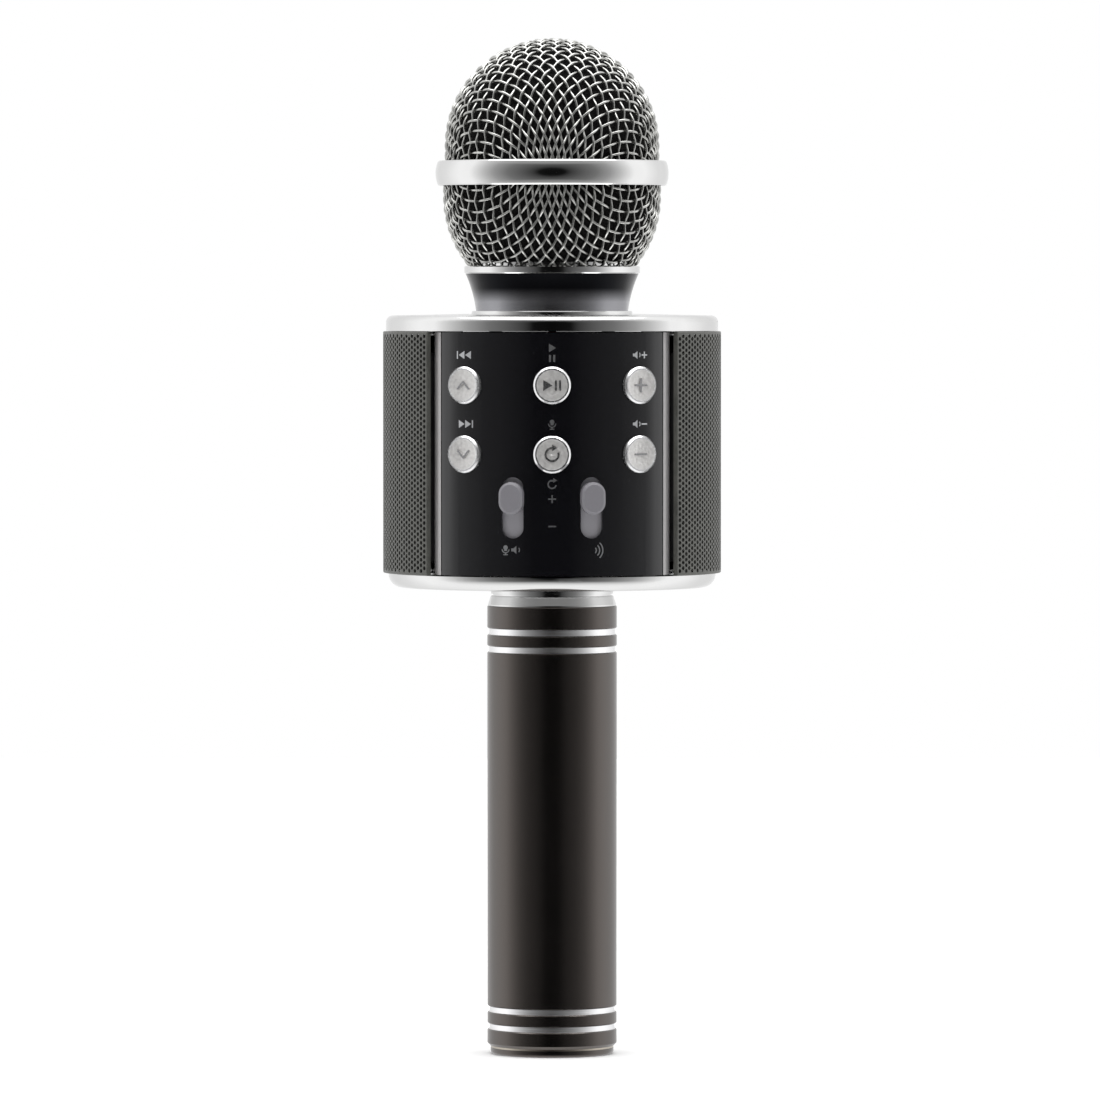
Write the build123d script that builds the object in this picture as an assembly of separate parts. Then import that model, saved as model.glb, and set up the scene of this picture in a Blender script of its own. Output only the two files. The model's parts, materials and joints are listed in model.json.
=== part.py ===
from build123d import *
import math
import os

# Handheld karaoke microphone: a wire ball head on a flared neck, a loudspeaker drum with buttons and
# slide controls, and a tubular grip that holds the cell. It stands on its end cap, +Z up, with the
# origin at the middle of the cap's flat base. The control panel faces -Y, the sockets face +Y and the
# loudspeakers face -X and +X. An azimuth is in degrees about Z, 0 at the front and 90 at the right.
# Units are millimetres.

# Heights of the joints between the visible pieces
CAP_TOP = 2.0
GRIP_TOP = 108.7
COLLAR_TOP = 111.2
SHADOW_GAP_TOP = 111.6
DRUM_BOTTOM = 113.2
LOWER_RIM = 116.6
UPPER_RIM = 175.2
DRUM_TOP = 179.3
NECK_BOTTOM = 180.0
NECK_TOP = 189.0
HEAD_COLLAR_TOP = 190.9
THREAD_TOP = 194.0
BAND_BOTTOM = 210.3
HEAD_SPLIT = 213.3
BAND_TOP = 216.3
DOME_CENTRE = 220.0

# Radii
GRIP_R = 15.7
GRIP_BORE = 14.2
CAP_R = 14.9
STEM_R = 12.9
STEM_BORE = 11.2
LOWER_COVER_R = 39.6
UPPER_COVER_R = 40.2
PANEL_R = 40.0
PANEL_INNER = 38.2
GRILLE_R = 40.9
CHASSIS_R = 37.4
CHASSIS_INNER = 35.6
NECK_FOOT_R = 18.4
NECK_WAIST = (19.1, 183.7)
NECK_LIP_R = 20.95
NECK_SPIGOT_R = 17.0
NECK_RING_R = 19.45
THREAD_R = 16.6
NECK_BORE = 15.4
NECK_FLOOR = 184.0
CAPSULE_SEAT = 190.0
CAPSULE_STUB = 188.6
HEAD_COLLAR_R = 21.25
COLLAR_SPIGOT_R = 18.4
DOME_R = 26.0
BOWL_R = 26.4
BAND_R = 28.2

# Bowl of the wire head: an arc whose centre lies past the axis
BOWL_ARC = 30.0
BOWL_ARC_X = BOWL_R - BOWL_ARC
BOWL_ARC_Z = 208.5

# Thicknesses and clearances
FIT = 0.05
RUNNING = 0.08
SHEET = 0.6
WIRE_CLOTH = 1.1
FOAM_GAP = 0.3
COVER_WALL = 1.8
SKIRT_WALL = 2.0
PANEL_GAP = 0.3
BOARD = 1.6
LEAD_R = 1.0

# Bright rings cut in the grip: (bottom, top) of each
GRIP_RINGS = [(6.1, 7.4), (10.3, 11.6), (97.5, 98.9), (101.7, 103.2)]
RING_DEPTH = 0.5
RING_LIP = 0.25

# Buttons and slide controls
SIDE_AZIMUTH = 31.3
UPPER_ROW = 162.35
LOWER_ROW = 145.9
BUTTON_R = 4.45
BUTTON_HOLE = 4.55
BUTTON_TOP = 41.0
BUTTON_FLANGE_R = 5.0
BUTTONS = {
    "previous_button": (-SIDE_AZIMUTH, UPPER_ROW),
    "next_button": (-SIDE_AZIMUTH, LOWER_ROW),
    "play_button": (0.0, UPPER_ROW),
    "replay_button": (0.0, LOWER_ROW),
    "volume_up_button": (SIDE_AZIMUTH, UPPER_ROW),
    "volume_down_button": (SIDE_AZIMUTH, LOWER_ROW),
}
SLIDER_AZIMUTH = 13.6
SLOT_Z = 133.2
SLOT_LENGTH = 14.6
SLOT_WIDTH = 5.3
KNOB_Z = 135.5
KNOB_HEIGHT = 7.7
KNOB_WIDTH = 5.8
KNOB_TOP = 42.7
SKIRT_FACE = 38.9
SKIRT_BACK = 38.2
SKIRT_HALF = 11.0
SKIRT_HALF_ANGLE = 5.35
POCKET_ROOF = 39.1
POCKET_HALF = 15.0
POCKET_HALF_ANGLE = 6.2
KNOB_UP = 1.2
KNOB_DOWN = 5.8
FADER_X = 8.6

# Boards behind the front panel, and the bosses that carry them: (azimuth, height)
BOARD_FACE = 31.5
SWITCH_TOP = 35.0
BOARD_SCREWS = [(0.0, 125.0), (0.0, 170.5), (-SIDE_AZIMUTH, 154.1), (SIDE_AZIMUTH, 154.1)]
BOARD_SCREW_R = 0.9
KEY_BOARD = 1.2
LEAD_END_Y = BOARD - BOARD_FACE + FIT

# From ROLL_START degrees each side of its middle a panel rolls off on a smaller radius, until it faces
# ROLL_END degrees away from its middle. There a flat flank starts, which faces FLANK degrees away.
# The grilles start at GRILLE_START
ROLL_START = 34.0
ROLL_END = 62.0
ROLL_R = 15.0
FLANK = 74.0
FLANK_LENGTH = 3.6
GRILLE_START = 47.0
GRILLE_HALF = 90.0 - GRILLE_START

# Chassis plates and the screws that hold the covers and the neck
PLATE_LOW = 120.0
PLATE_HIGH = 170.0
PLATE = 2.0
PLATE_CUT_X = 29.0
PLATE_CUT_Y = 23.4
ROOF = 177.2
SCREW_R = 1.25
SCREW_HOLE = SCREW_R + FIT
BOSS_R = 3.0
COVER_SCREW_CIRCLE = 31.0
COVER_SCREW_AZIMUTHS = (60, 120, 240, 300)
NECK_SCREW_CIRCLE = 11.0
NECK_SCREW_AZIMUTHS = (0, 120, 240)

# Loudspeakers: distances are from the Z axis
DRIVER_Z = 146.0
DRIVER_R = 19.8
DRIVER_SEAT = 29.5
DRIVER_HOLE = 17.6
DRIVER_SCREW_CIRCLE = 18.8
DRIVER_SCREW_R = 0.7
FLANGE_BACK = DRIVER_SEAT - 1.25
COIL_INNER = 4.5
COIL_OUTER = 5.4
SIDES = {"left": 270, "right": 90}

# Sockets on the back: a column on the io board's right face, the switch and lamp on its left face
USB_Z = 160.5
CARD_Z = 146.0
JACK_Z = 135.2
CHARGE_Z = 127.0
SWITCH_X = -6.2
POWER_Z = 146.0
POWER_TRAVEL = 2.5
KNOB_HALF_WIDTH = 1.2
KNOB_HALF_HEIGHT = 1.7
LAMP_Z = 160.0
LAMP_R = 1.45
IO_BOARD_X = -2.85
IO_BOARD = 1.2
SOCKET_FACE = 39.2
USB_HALF_WIDTH = -IO_BOARD_X
USB_HALF_HEIGHT = 6.55
USB_BACK = 25.4
USB_WALL = 0.3
CARD_THICKNESS = 1.6
CARD_HALF_HEIGHT = 6.0
CARD_X = IO_BOARD_X + CARD_THICKNESS / 2
CHARGE_HALF_WIDTH = 1.4
CHARGE_HALF_HEIGHT = 3.9
CHARGE_X = IO_BOARD_X + CHARGE_HALF_WIDTH
JACK_NOSE_R = 2.9
JACK_BORE_R = 1.8
JACK_DEPTH = 12.0

# Cell and its tray
CELL_R = 9.15
CELL_BOTTOM = 22.0
CELL_TOP = 87.0
TRAY_BOTTOM = 14.0
TRAY_TOP = 95.0
TAB = 0.2
PROTECTION_TOP = CELL_TOP + TAB + 0.8


def turned(*edges):
    """A solid of revolution about Z from the edges of an (r, z) outline."""
    return revolve(Plane.XZ * make_face(Curve() + list(edges)), Axis.Z)


def lathe(*points):
    """A solid of revolution about Z from the corners of an (r, z) outline."""
    return revolve(Plane.XZ * make_face(Polyline(*points, close=True)), Axis.Z)


def tube(outer, inner, low, high):
    return lathe((inner, low), (outer, low), (outer, high), (inner, high))


def disc(radius, low, high, x=0, y=0):
    return Pos(x, y, (low + high) / 2) * Cylinder(radius, high - low)


def bar(x0, x1, y0, y1, z0, z1):
    """A block between two corners."""
    return Pos((x0 + x1) / 2, (y0 + y1) / 2, (z0 + z1) / 2) * Box(x1 - x0, y1 - y0, z1 - z0)


def sector(outer, inner, low, high, azimuth, half_angle):
    """A piece of a tube's wall, centred on an azimuth."""
    corners = [(inner, low), (outer, low), (outer, high), (inner, high)]
    wall = Plane.XZ * make_face(Polyline(*corners, close=True))
    return Rot(0, 0, azimuth - 90 - half_angle) * revolve(wall, Axis.Z, 2 * half_angle)


def on_circle(radius, azimuth):
    """The (x, y) of a point at an azimuth."""
    return radius * math.sin(math.radians(azimuth)), -radius * math.cos(math.radians(azimuth))


def facing(azimuth, height):
    """A place on the axis whose local Z points outwards at the azimuth and whose local Y is up."""
    right = (math.cos(math.radians(azimuth)), math.sin(math.radians(azimuth)), 0)
    outward = (*on_circle(1, azimuth), 0)
    return Plane(origin=(0, 0, height), x_dir=right, z_dir=outward).location


def post(seat, radius, near, far, x=0, y=0):
    """A round bar along a seat's outward direction, between two distances from the axis."""
    return seat * Pos(x, y, (near + far) / 2) * Cylinder(radius, far - near)


def block(seat, width, height, near, far, x=0, y=0):
    """A rectangular bar along a seat's outward direction."""
    return seat * Pos(x, y, (near + far) / 2) * Box(width, height, far - near)


def pill(seat, width, height, near, far):
    """An upright slot shape along a seat's outward direction."""
    return extrude(seat * Pos(0, 0, near) * Rot(0, 0, 90) * SlotOverall(height, width), far - near)


def screw(x, y, head_z, tip_z, shank_r, head_r, head_height):
    """A slotted pan-head screw along Z, from its head's underside to its tip."""
    back = math.copysign(head_height, head_z - tip_z)
    head = disc(head_r, *sorted((head_z, head_z + back)), x, y)
    slot = bar(x - head_r, x + head_r, y - 0.25, y + 0.25, *sorted((head_z + back / 2, head_z + 2 * back)))
    return head - slot + disc(shank_r, *sorted((head_z, tip_z)), x, y)


def lead(points, radii):
    """A round lead along straight runs joined by tangent arcs."""
    path = FilletPolyline(*points, radius=radii)
    return sweep(Plane(origin=path @ 0, z_dir=path % 0) * Circle(LEAD_R), path)


# ---- Grip


def end_cap():
    base_round, plug_r, plug_bore, plug_top = 0.8, GRIP_BORE - FIT, 12.4, TRAY_BOTTOM - 0.1
    cap = lathe(
        (0, 0), (CAP_R, 0), (CAP_R, CAP_TOP), (plug_r, CAP_TOP), (plug_r, plug_top),
        (plug_bore, plug_top), (plug_bore, CAP_TOP), (0, CAP_TOP),
    )
    return fillet(cap.edges().filter_by(GeomType.CIRCLE).group_by(Axis.Z)[0], base_round)


def grip_tube():
    foot_round, floor = 0.7, GRIP_R - RING_DEPTH
    outline = [(GRIP_BORE, CAP_TOP), (GRIP_R - foot_round, CAP_TOP), (GRIP_R, CAP_TOP + foot_round)]
    for low, high in GRIP_RINGS:
        outline += [(GRIP_R, low - RING_LIP), (GRIP_R - RING_LIP, low), (floor, low)]
        outline += [(floor, high), (GRIP_R - RING_LIP, high), (GRIP_R, high + RING_LIP)]
    outline += [(GRIP_R, GRIP_TOP - RING_LIP), (GRIP_R - RING_LIP, GRIP_TOP), (GRIP_BORE, GRIP_TOP)]
    return lathe(*outline)


def battery_tray():
    tray_r, end_wall, pocket_r, lead_hole = GRIP_BORE - 0.2, 6.0, CELL_R + 0.15, 2.5
    low, high = TRAY_BOTTOM + end_wall, TRAY_TOP - end_wall
    tray = disc(tray_r, TRAY_BOTTOM, TRAY_TOP) - disc(pocket_r, low, high)
    tray -= bar(-pocket_r, pocket_r, 0, tray_r + 1, low, high)
    return tray - disc(lead_hole, high - 1, TRAY_TOP + 1)


def battery_cell():
    crimp_low, crimp_high, crimp, button_r, button_height = 81.0, 82.5, 0.4, 4.0, 0.9
    shoulder = CELL_TOP - button_height
    return lathe(
        (0, CELL_BOTTOM), (CELL_R, CELL_BOTTOM), (CELL_R, crimp_low), (CELL_R - crimp, crimp_low + crimp),
        (CELL_R - crimp, crimp_high), (CELL_R, crimp_high + crimp), (CELL_R, shoulder),
        (button_r, shoulder), (button_r, CELL_TOP), (0, CELL_TOP),
    )


def battery_tabs():
    width, length = 6.0, 12.0
    lows = (CELL_BOTTOM - TAB, CELL_TOP)
    return [bar(-width / 2, width / 2, -length / 2, length / 2, low, low + TAB) for low in lows]


def protection_board():
    board_r, chip_half, chip_x, chip_height = 8.0, 2.0, -4.0, 0.6
    board = disc(board_r, CELL_TOP + TAB, PROTECTION_TOP)
    return board + bar(
        chip_x - chip_half, chip_x + chip_half, -chip_half, chip_half,
        PROTECTION_TOP, PROTECTION_TOP + chip_height,
    )


def battery_lead():
    """From the protection board up through the stem, then forwards to the control board."""
    end_z = 132.5
    points = [
        (0, 0, PROTECTION_TOP + FIT), (0, 0, 100), (1.5, -1, 112), (1, -5, 124), (0, -15, end_z),
        (0, LEAD_END_Y, end_z),
    ]
    return lead(points, [30, 20, 14, 14])


def grip_collar():
    """The bright ring above the grip, with a spigot down into the tube and a stem up into the drum."""
    spigot_r, spigot_bore, spigot_low = GRIP_BORE - FIT, 12.6, TRAY_TOP + 0.2
    lower_r, upper_r, gap_r, stem_top, bevel = 15.5, 14.9, 14.3, 119.0, 0.3
    return lathe(
        (spigot_bore, spigot_low), (spigot_r, spigot_low), (spigot_r, GRIP_TOP), (lower_r, GRIP_TOP),
        (lower_r, GRIP_TOP + bevel), (upper_r, COLLAR_TOP - bevel), (upper_r - bevel, COLLAR_TOP),
        (gap_r, COLLAR_TOP), (gap_r, SHADOW_GAP_TOP), (STEM_R, SHADOW_GAP_TOP), (STEM_R, stem_top),
        (STEM_BORE, stem_top), (STEM_BORE, GRIP_TOP), (spigot_bore, GRIP_TOP - 1.4),
    )


def stem_nut():
    corner_r, height = 17.5, 3.2
    low = DRUM_BOTTOM + COVER_WALL
    hexagon = extrude(Pos(0, 0, low) * RegularPolygon(corner_r, 6), height)
    return hexagon - disc(STEM_R + FIT, low - 1, low + height + 1)


# ---- Drum covers and chassis

COVER_SCREWS = [on_circle(COVER_SCREW_CIRCLE, azimuth) for azimuth in COVER_SCREW_AZIMUTHS]
NECK_SCREWS = [on_circle(NECK_SCREW_CIRCLE, azimuth) for azimuth in NECK_SCREW_AZIMUTHS]


def quarter_round(start, end, centre):
    """The arc from start to end that bulges away from its centre."""
    radius = math.dist(start, centre)
    dx, dz = (start[0] + end[0]) / 2 - centre[0], (start[1] + end[1]) / 2 - centre[1]
    scale = radius / math.hypot(dx, dz)
    return ThreePointArc(start, (centre[0] + dx * scale, centre[1] + dz * scale), end)


def crown(radius, edge, apex):
    """The arc from (radius, edge) to the axis, level where it meets the axis."""
    rise = apex - edge
    sphere_r = (radius**2 + rise**2) / (2 * rise)
    middle = apex - sphere_r + math.copysign(math.sqrt(sphere_r**2 - radius**2 / 4), rise)
    return ThreePointArc((radius, edge), (radius / 2, middle), (0, apex))


def lower_cover():
    """Bright dish under the drum, with a bore for the grip's stem."""
    corner, lip, boss_r, bore = 3.2, 0.8, 14.8, STEM_R + FIT
    floor, inner = DRUM_BOTTOM + COVER_WALL, LOWER_COVER_R - SKIRT_WALL
    side, base = (LOWER_COVER_R, DRUM_BOTTOM + corner), (LOWER_COVER_R - corner, DRUM_BOTTOM)
    dish = turned(
        Polyline(
            side, (LOWER_COVER_R, LOWER_RIM), (inner, LOWER_RIM), (inner, floor + lip),
            (inner - lip, floor), (bore, floor), (bore, SHADOW_GAP_TOP), (boss_r, SHADOW_GAP_TOP),
            (boss_r, DRUM_BOTTOM), base,
        ),
        quarter_round(base, side, (base[0], side[1])),
    )
    for x, y in COVER_SCREWS:
        dish += disc(BOSS_R, floor, PLATE_LOW, x, y)
        dish -= disc(SCREW_HOLE, floor, PLATE_LOW + 1, x, y)
    return dish


def upper_cover():
    """Bright cap over the drum. Its roof rises a little towards the neck."""
    corner, lip, flat_r, lead_bore = 1.6, 0.8, 20.0, 7.0
    edge_top, inner = DRUM_TOP - 0.4, UPPER_COVER_R - SKIRT_WALL
    side, shoulder = (UPPER_COVER_R, edge_top - corner), (UPPER_COVER_R - corner, edge_top)
    cap = turned(
        Polyline(
            shoulder, (flat_r, DRUM_TOP), (lead_bore, DRUM_TOP), (lead_bore, ROOF),
            (inner - lip, ROOF), (inner, ROOF - lip), (inner, UPPER_RIM), (UPPER_COVER_R, UPPER_RIM), side,
        ),
        quarter_round(side, shoulder, (shoulder[0], side[1])),
    )
    for x, y in COVER_SCREWS:
        cap += disc(BOSS_R, PLATE_HIGH, ROOF, x, y)
        cap -= disc(SCREW_HOLE, PLATE_HIGH - 1, ROOF, x, y)
    for x, y in NECK_SCREWS:
        cap -= disc(SCREW_HOLE, ROOF - 1, DRUM_TOP + 1, x, y)
    return cap


def driver_screw_points():
    return [on_circle(DRIVER_SCREW_CIRCLE, 45 + 90 * k) for k in range(4)]


def chassis():
    """Moulded frame: two plates and the side walls, which carry the loudspeaker tunnels and end in a rib."""
    wall_start, tunnel_r, rib, rib_half, screw_depth = 50.3, DRIVER_R + 0.7, 1.2, 0.5, 3.5
    stem_hole, lead_hole = 12.0, 6.0
    frame = Part()
    for low in (PLATE_LOW, PLATE_HIGH - PLATE):
        frame += disc(CHASSIS_R, low, low + PLATE)
    for y0, y1 in ((-CHASSIS_R - 1, -PLATE_CUT_Y), (PLATE_CUT_Y, CHASSIS_R + 1)):
        frame -= bar(-PLATE_CUT_X, PLATE_CUT_X, y0, y1, PLATE_LOW - 1, PLATE_HIGH + 1)
    frame -= disc(stem_hole, PLATE_LOW - 1, PLATE_LOW + PLATE + 1)
    frame -= disc(lead_hole, PLATE_HIGH - PLATE - 1, PLATE_HIGH + 1)
    for azimuth in SIDES.values():
        seat = facing(azimuth, DRIVER_Z)
        frame += sector(CHASSIS_R, CHASSIS_INNER, PLATE_LOW, PLATE_HIGH, azimuth, 90 - wall_start)
        frame += post(seat, tunnel_r, DRIVER_SEAT, CHASSIS_R + 1) & disc(CHASSIS_R, PLATE_LOW, PLATE_HIGH)
        frame -= post(seat, DRIVER_HOLE, DRIVER_SEAT - 5, CHASSIS_R + 2)
        for x, y in driver_screw_points():
            frame -= post(seat, DRIVER_SCREW_R + FIT, DRIVER_SEAT - 1, DRIVER_SEAT + screw_depth, x, y)
        for edge in (azimuth - 90 + wall_start + rib_half, azimuth + 90 - wall_start - rib_half):
            frame += sector(CHASSIS_R + rib, CHASSIS_INNER, PLATE_LOW, PLATE_HIGH, edge, rib_half)
    for x, y in COVER_SCREWS:
        frame -= disc(SCREW_HOLE, PLATE_LOW - 1, PLATE_HIGH + 1, x, y)
    return frame


def case_screws():
    """Eight screws from the chassis into the covers' bosses, and three from the roof up into the neck."""
    head_r, head_height = 2.4, 1.5
    runs = [(x, y, PLATE_LOW + PLATE, 116.0) for x, y in COVER_SCREWS]
    runs += [(x, y, PLATE_HIGH - PLATE, 175.5) for x, y in COVER_SCREWS]
    runs += [(x, y, ROOF, 183.0) for x, y in NECK_SCREWS]
    return [screw(*run, SCREW_R, head_r, head_height) for run in runs]


# ---- Drum walls

PANEL_LOW = LOWER_RIM + PANEL_GAP
PANEL_HIGH = UPPER_RIM - PANEL_GAP


def distance_from_axis(shape):
    centre = shape.center()
    return math.hypot(centre.X, centre.Y)


def panel_point(inset, facing_angle):
    """The (x, y) where the front panel's wall faces an angle, measured inset inside its outer face."""
    if abs(facing_angle) <= ROLL_START:
        return on_circle(PANEL_R - inset, facing_angle)
    x, y = on_circle(PANEL_R - ROLL_R, math.copysign(ROLL_START, facing_angle))
    dx, dy = on_circle(ROLL_R - inset, facing_angle)
    return x + dx, y + dy


def flank_end(inset, side):
    """The (x, y) where one of the front panel's flanks ends, measured inset inside its outer face."""
    x, y = panel_point(0, ROLL_END)
    along_x, along_y = math.cos(math.radians(FLANK)), math.sin(math.radians(FLANK))
    inset_x, inset_y = on_circle(inset, FLANK)
    return side * (x + FLANK_LENGTH * along_x - inset_x), y + FLANK_LENGTH * along_y - inset_y


def panel_face(inset):
    """The front panel's wall in plan: the main arc, with a roll and a flat flank on each side."""
    reach = ROLL_R * math.cos(math.radians(FLANK - ROLL_END)) - inset
    corner = FLANK - math.degrees(math.acos(reach / (ROLL_R - inset)))
    middle = (ROLL_START + corner) / 2
    runs = [(-corner, -middle, -ROLL_START), (-ROLL_START, 0, ROLL_START), (ROLL_START, middle, corner)]
    arcs = [ThreePointArc(*(panel_point(inset, angle) for angle in run)) for run in runs]
    return arcs + [Line(panel_point(inset, side * corner), flank_end(inset, side)) for side in (-1, 1)]


def panel_blank(azimuth, tab_offset):
    """A curved panel whose upright edges turn inwards, with tabs that hook behind both covers' skirts."""
    edge_round, lip, tab_r, tab_half, tab_height, tab_reach = 0.4, 0.8, 37.45, 2.5, 2.0, 1.1
    wall = PANEL_R - PANEL_INNER
    ends = [Line(flank_end(0, side), flank_end(wall, side)) for side in (-1, 1)]
    plan = make_face(Curve() + [*panel_face(0), *panel_face(wall), *ends])
    shell = extrude(Pos(0, 0, PANEL_LOW) * plan, PANEL_HIGH - PANEL_LOW)
    uprights = shell.edges().filter_by(Axis.Z).sort_by(lambda edge: abs(edge.center().X))
    shell = Rot(0, 0, azimuth) * fillet(uprights[-2:], edge_round)
    for side in (-1, 1):
        at = azimuth + side * tab_offset
        for low, high, out_low, out_high in (
            (PANEL_LOW, PANEL_LOW + tab_height, PANEL_LOW - tab_reach, PANEL_LOW + tab_height),
            (PANEL_HIGH - tab_height, PANEL_HIGH, PANEL_HIGH - tab_height, PANEL_HIGH + tab_reach),
        ):
            shell += sector(PANEL_INNER + 0.1, tab_r - lip, low, high, at, tab_half)
            shell += sector(tab_r, tab_r - lip, out_low, out_high, at, tab_half)
    return shell


def front_panel():
    boss_r, boss_floor = 2.2, PANEL_INNER - 0.7
    panel = panel_blank(0, 38)
    for azimuth, height in BUTTONS.values():
        panel -= post(facing(azimuth, height), BUTTON_HOLE, PANEL_INNER - 2, PANEL_R + 2)
    for azimuth in (-SLIDER_AZIMUTH, SLIDER_AZIMUTH):
        panel -= pill(facing(azimuth, SLOT_Z), SLOT_WIDTH, SLOT_LENGTH, PANEL_INNER - 2, PANEL_R + 2)
        low, high = SLOT_Z - POCKET_HALF, SLOT_Z + POCKET_HALF
        panel -= sector(POCKET_ROOF, PANEL_INNER - 1, low, high, azimuth, POCKET_HALF_ANGLE)
    for azimuth, height in BOARD_SCREWS:
        seat = facing(azimuth, height)
        panel += post(seat, boss_r, BOARD_FACE, PANEL_INNER + 0.5)
        panel -= post(seat, BOARD_SCREW_R + FIT, BOARD_FACE - 1, boss_floor)
    return panel


def rear_panel():
    panel = panel_blank(180, 22)
    near, far, margin, knob_margin = PANEL_INNER - 2, PANEL_R + 2, 0.3, 0.25
    knob_window = POWER_TRAVEL + 2 * (KNOB_HALF_HEIGHT + knob_margin) + 0.6
    for width, height, z, x in (
        (2 * (USB_HALF_WIDTH + margin), 2 * (USB_HALF_HEIGHT + margin), USB_Z, 0),
        (CARD_THICKNESS + 2 * margin, 2 * (CARD_HALF_HEIGHT + margin), CARD_Z, CARD_X),
        (2 * (CHARGE_HALF_WIDTH + margin), 2 * (CHARGE_HALF_HEIGHT + margin), CHARGE_Z, CHARGE_X),
        (2 * (KNOB_HALF_WIDTH + knob_margin), knob_window, POWER_Z, SWITCH_X),
    ):
        panel -= block(facing(180, z), width, height, near, far, -x)
    panel -= post(facing(180, JACK_Z), JACK_NOSE_R + 0.2, near, far)
    return panel - post(facing(180, LAMP_Z), LAMP_R + 0.1, near, far, -SWITCH_X)


def side_grille(azimuth):
    """Sheet-metal tray: an arc of wall with all four edges folded inwards."""
    low, high, fold_in = LOWER_RIM + 0.1, UPPER_RIM - 0.1, GRILLE_R - 1.4
    edge_angle = math.degrees(SHEET / GRILLE_R)
    tray = sector(GRILLE_R, fold_in, low, high, azimuth, GRILLE_HALF)
    return tray - sector(
        GRILLE_R - SHEET, fold_in - 1, low + SHEET, high - SHEET, azimuth, GRILLE_HALF - edge_angle
    )


def dust_cloths():
    outer, margin = GRILLE_R - SHEET - 0.1, 1.0
    low, high = LOWER_RIM + margin, UPPER_RIM - margin
    return [sector(outer, outer - 0.3, low, high, azimuth, GRILLE_HALF - 1.2) for azimuth in SIDES.values()]


# ---- Loudspeakers, drawn about their own axis: (radius, distance from the Z axis)


def speaker_basket():
    """Pressed frame: a cup round the magnet's front, four spokes, and a rim screwed behind its seat."""
    throat_r, throat_low, cup_r, cup_high = 8.0, 17.6, 12.0, 18.6
    rim_r, rim_inner, rim_low, wall = 17.4, 16.9, 27.4, 1.0
    window_half, window_low, window_high = 4.0, 19.5, 26.5
    basket = lathe(
        (throat_r, throat_low), (cup_r, throat_low), (rim_r, rim_low), (rim_r, FLANGE_BACK),
        (DRIVER_R, FLANGE_BACK), (DRIVER_R, DRIVER_SEAT - FIT), (rim_inner, DRIVER_SEAT - FIT),
        (rim_inner, rim_low - 0.2), (cup_r - 0.6, cup_high), (throat_r, throat_low + wall),
    )
    for k in range(4):
        window = bar(throat_r, rim_inner + 0.1, -window_half, window_half, window_low, window_high)
        basket -= Rot(0, 0, 90 * k) * window
    for x, y in driver_screw_points():
        basket -= disc(DRIVER_SCREW_R + FIT, FLANGE_BACK - 1, DRIVER_SEAT, x, y)
    return basket


def speaker_magnet():
    """Ring magnet between its plates, with the round gap that the voice coil moves in."""
    magnet_r, back, front, gap_floor, pole_front = 11.0, 8.5, 17.5, 13.5, 19.0
    return lathe(
        (0, back), (magnet_r, back), (magnet_r, front), (COIL_OUTER + 0.3, front),
        (COIL_OUTER + 0.3, gap_floor), (COIL_INNER - 0.3, gap_floor), (COIL_INNER - 0.3, pole_front),
        (0, pole_front),
    )


def speaker_cone():
    """Voice coil former, paper cone and domed dust cap in one."""
    coil_low, throat, mouth_low, mouth_high = 15.5, 21.4, 27.3, 27.9
    mouth_r, cap_r, cap_edge, cap_apex, paper = 13.5, 6.4, 22.7, 25.0, 0.6
    return turned(
        Polyline(
            (0, cap_apex - paper), (COIL_INNER, cap_edge - 0.4), (COIL_INNER, coil_low),
            (COIL_OUTER, coil_low), (COIL_OUTER, throat), (mouth_r, mouth_low), (mouth_r, mouth_high),
            (mouth_r - 0.5, mouth_high), (cap_r, cap_edge),
        ),
        crown(cap_r, cap_edge, cap_apex),
        Line((0, cap_apex), (0, cap_apex - paper)),
    )


def speaker_surround():
    inner, outer, low, rise, thickness = 13.8, 16.8, 27.4, 1.3, 0.5
    middle = (inner + outer) / 2
    return turned(
        ThreePointArc((inner, low + thickness), (middle, low + thickness + rise), (outer, low + thickness)),
        Line((outer, low + thickness), (outer, low)),
        ThreePointArc((outer, low), (middle, low + rise), (inner, low)),
        Line((inner, low), (inner, low + thickness)),
    )


def speaker_screws():
    head_r, head_height, reach = 1.0, 0.8, 3.0
    one = [
        screw(x, y, FLANGE_BACK, DRIVER_SEAT + reach, DRIVER_SCREW_R, head_r, head_height)
        for x, y in driver_screw_points()
    ]
    return [facing(azimuth, DRIVER_Z) * piece for azimuth in SIDES.values() for piece in one]


def speaker_leads():
    """One lead from each magnet's edge down to the board."""
    start_y, turn_y, foot_y, end_z = -11.1, -18.0, -20.0, 132.0
    leads = []
    for side in (-1, 1):
        x, end_x = side * 13.0, side * 8.0
        points = [
            (x, start_y, DRIVER_Z), (x, turn_y, DRIVER_Z), (end_x, foot_y, end_z), (end_x, LEAD_END_Y, end_z)
        ]
        leads.append(lead(points, [3.5, 5]))
    return leads


# ---- Buttons, slide controls and their boards


def stroke(start, end, width, near, far):
    """A raised bar with round ends between two local points."""
    angle = math.degrees(math.atan2(end[1] - start[1], end[0] - start[0]))
    place = Pos((start[0] + end[0]) / 2, (start[1] + end[1]) / 2, near) * Rot(0, 0, angle)
    return extrude(place * SlotCenterToCenter(math.dist(start, end), width), far - near)


def triangle(corners, near, far):
    return extrude(Pos(0, 0, near) * make_face(Polyline(*corners, close=True)), far - near)


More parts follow.
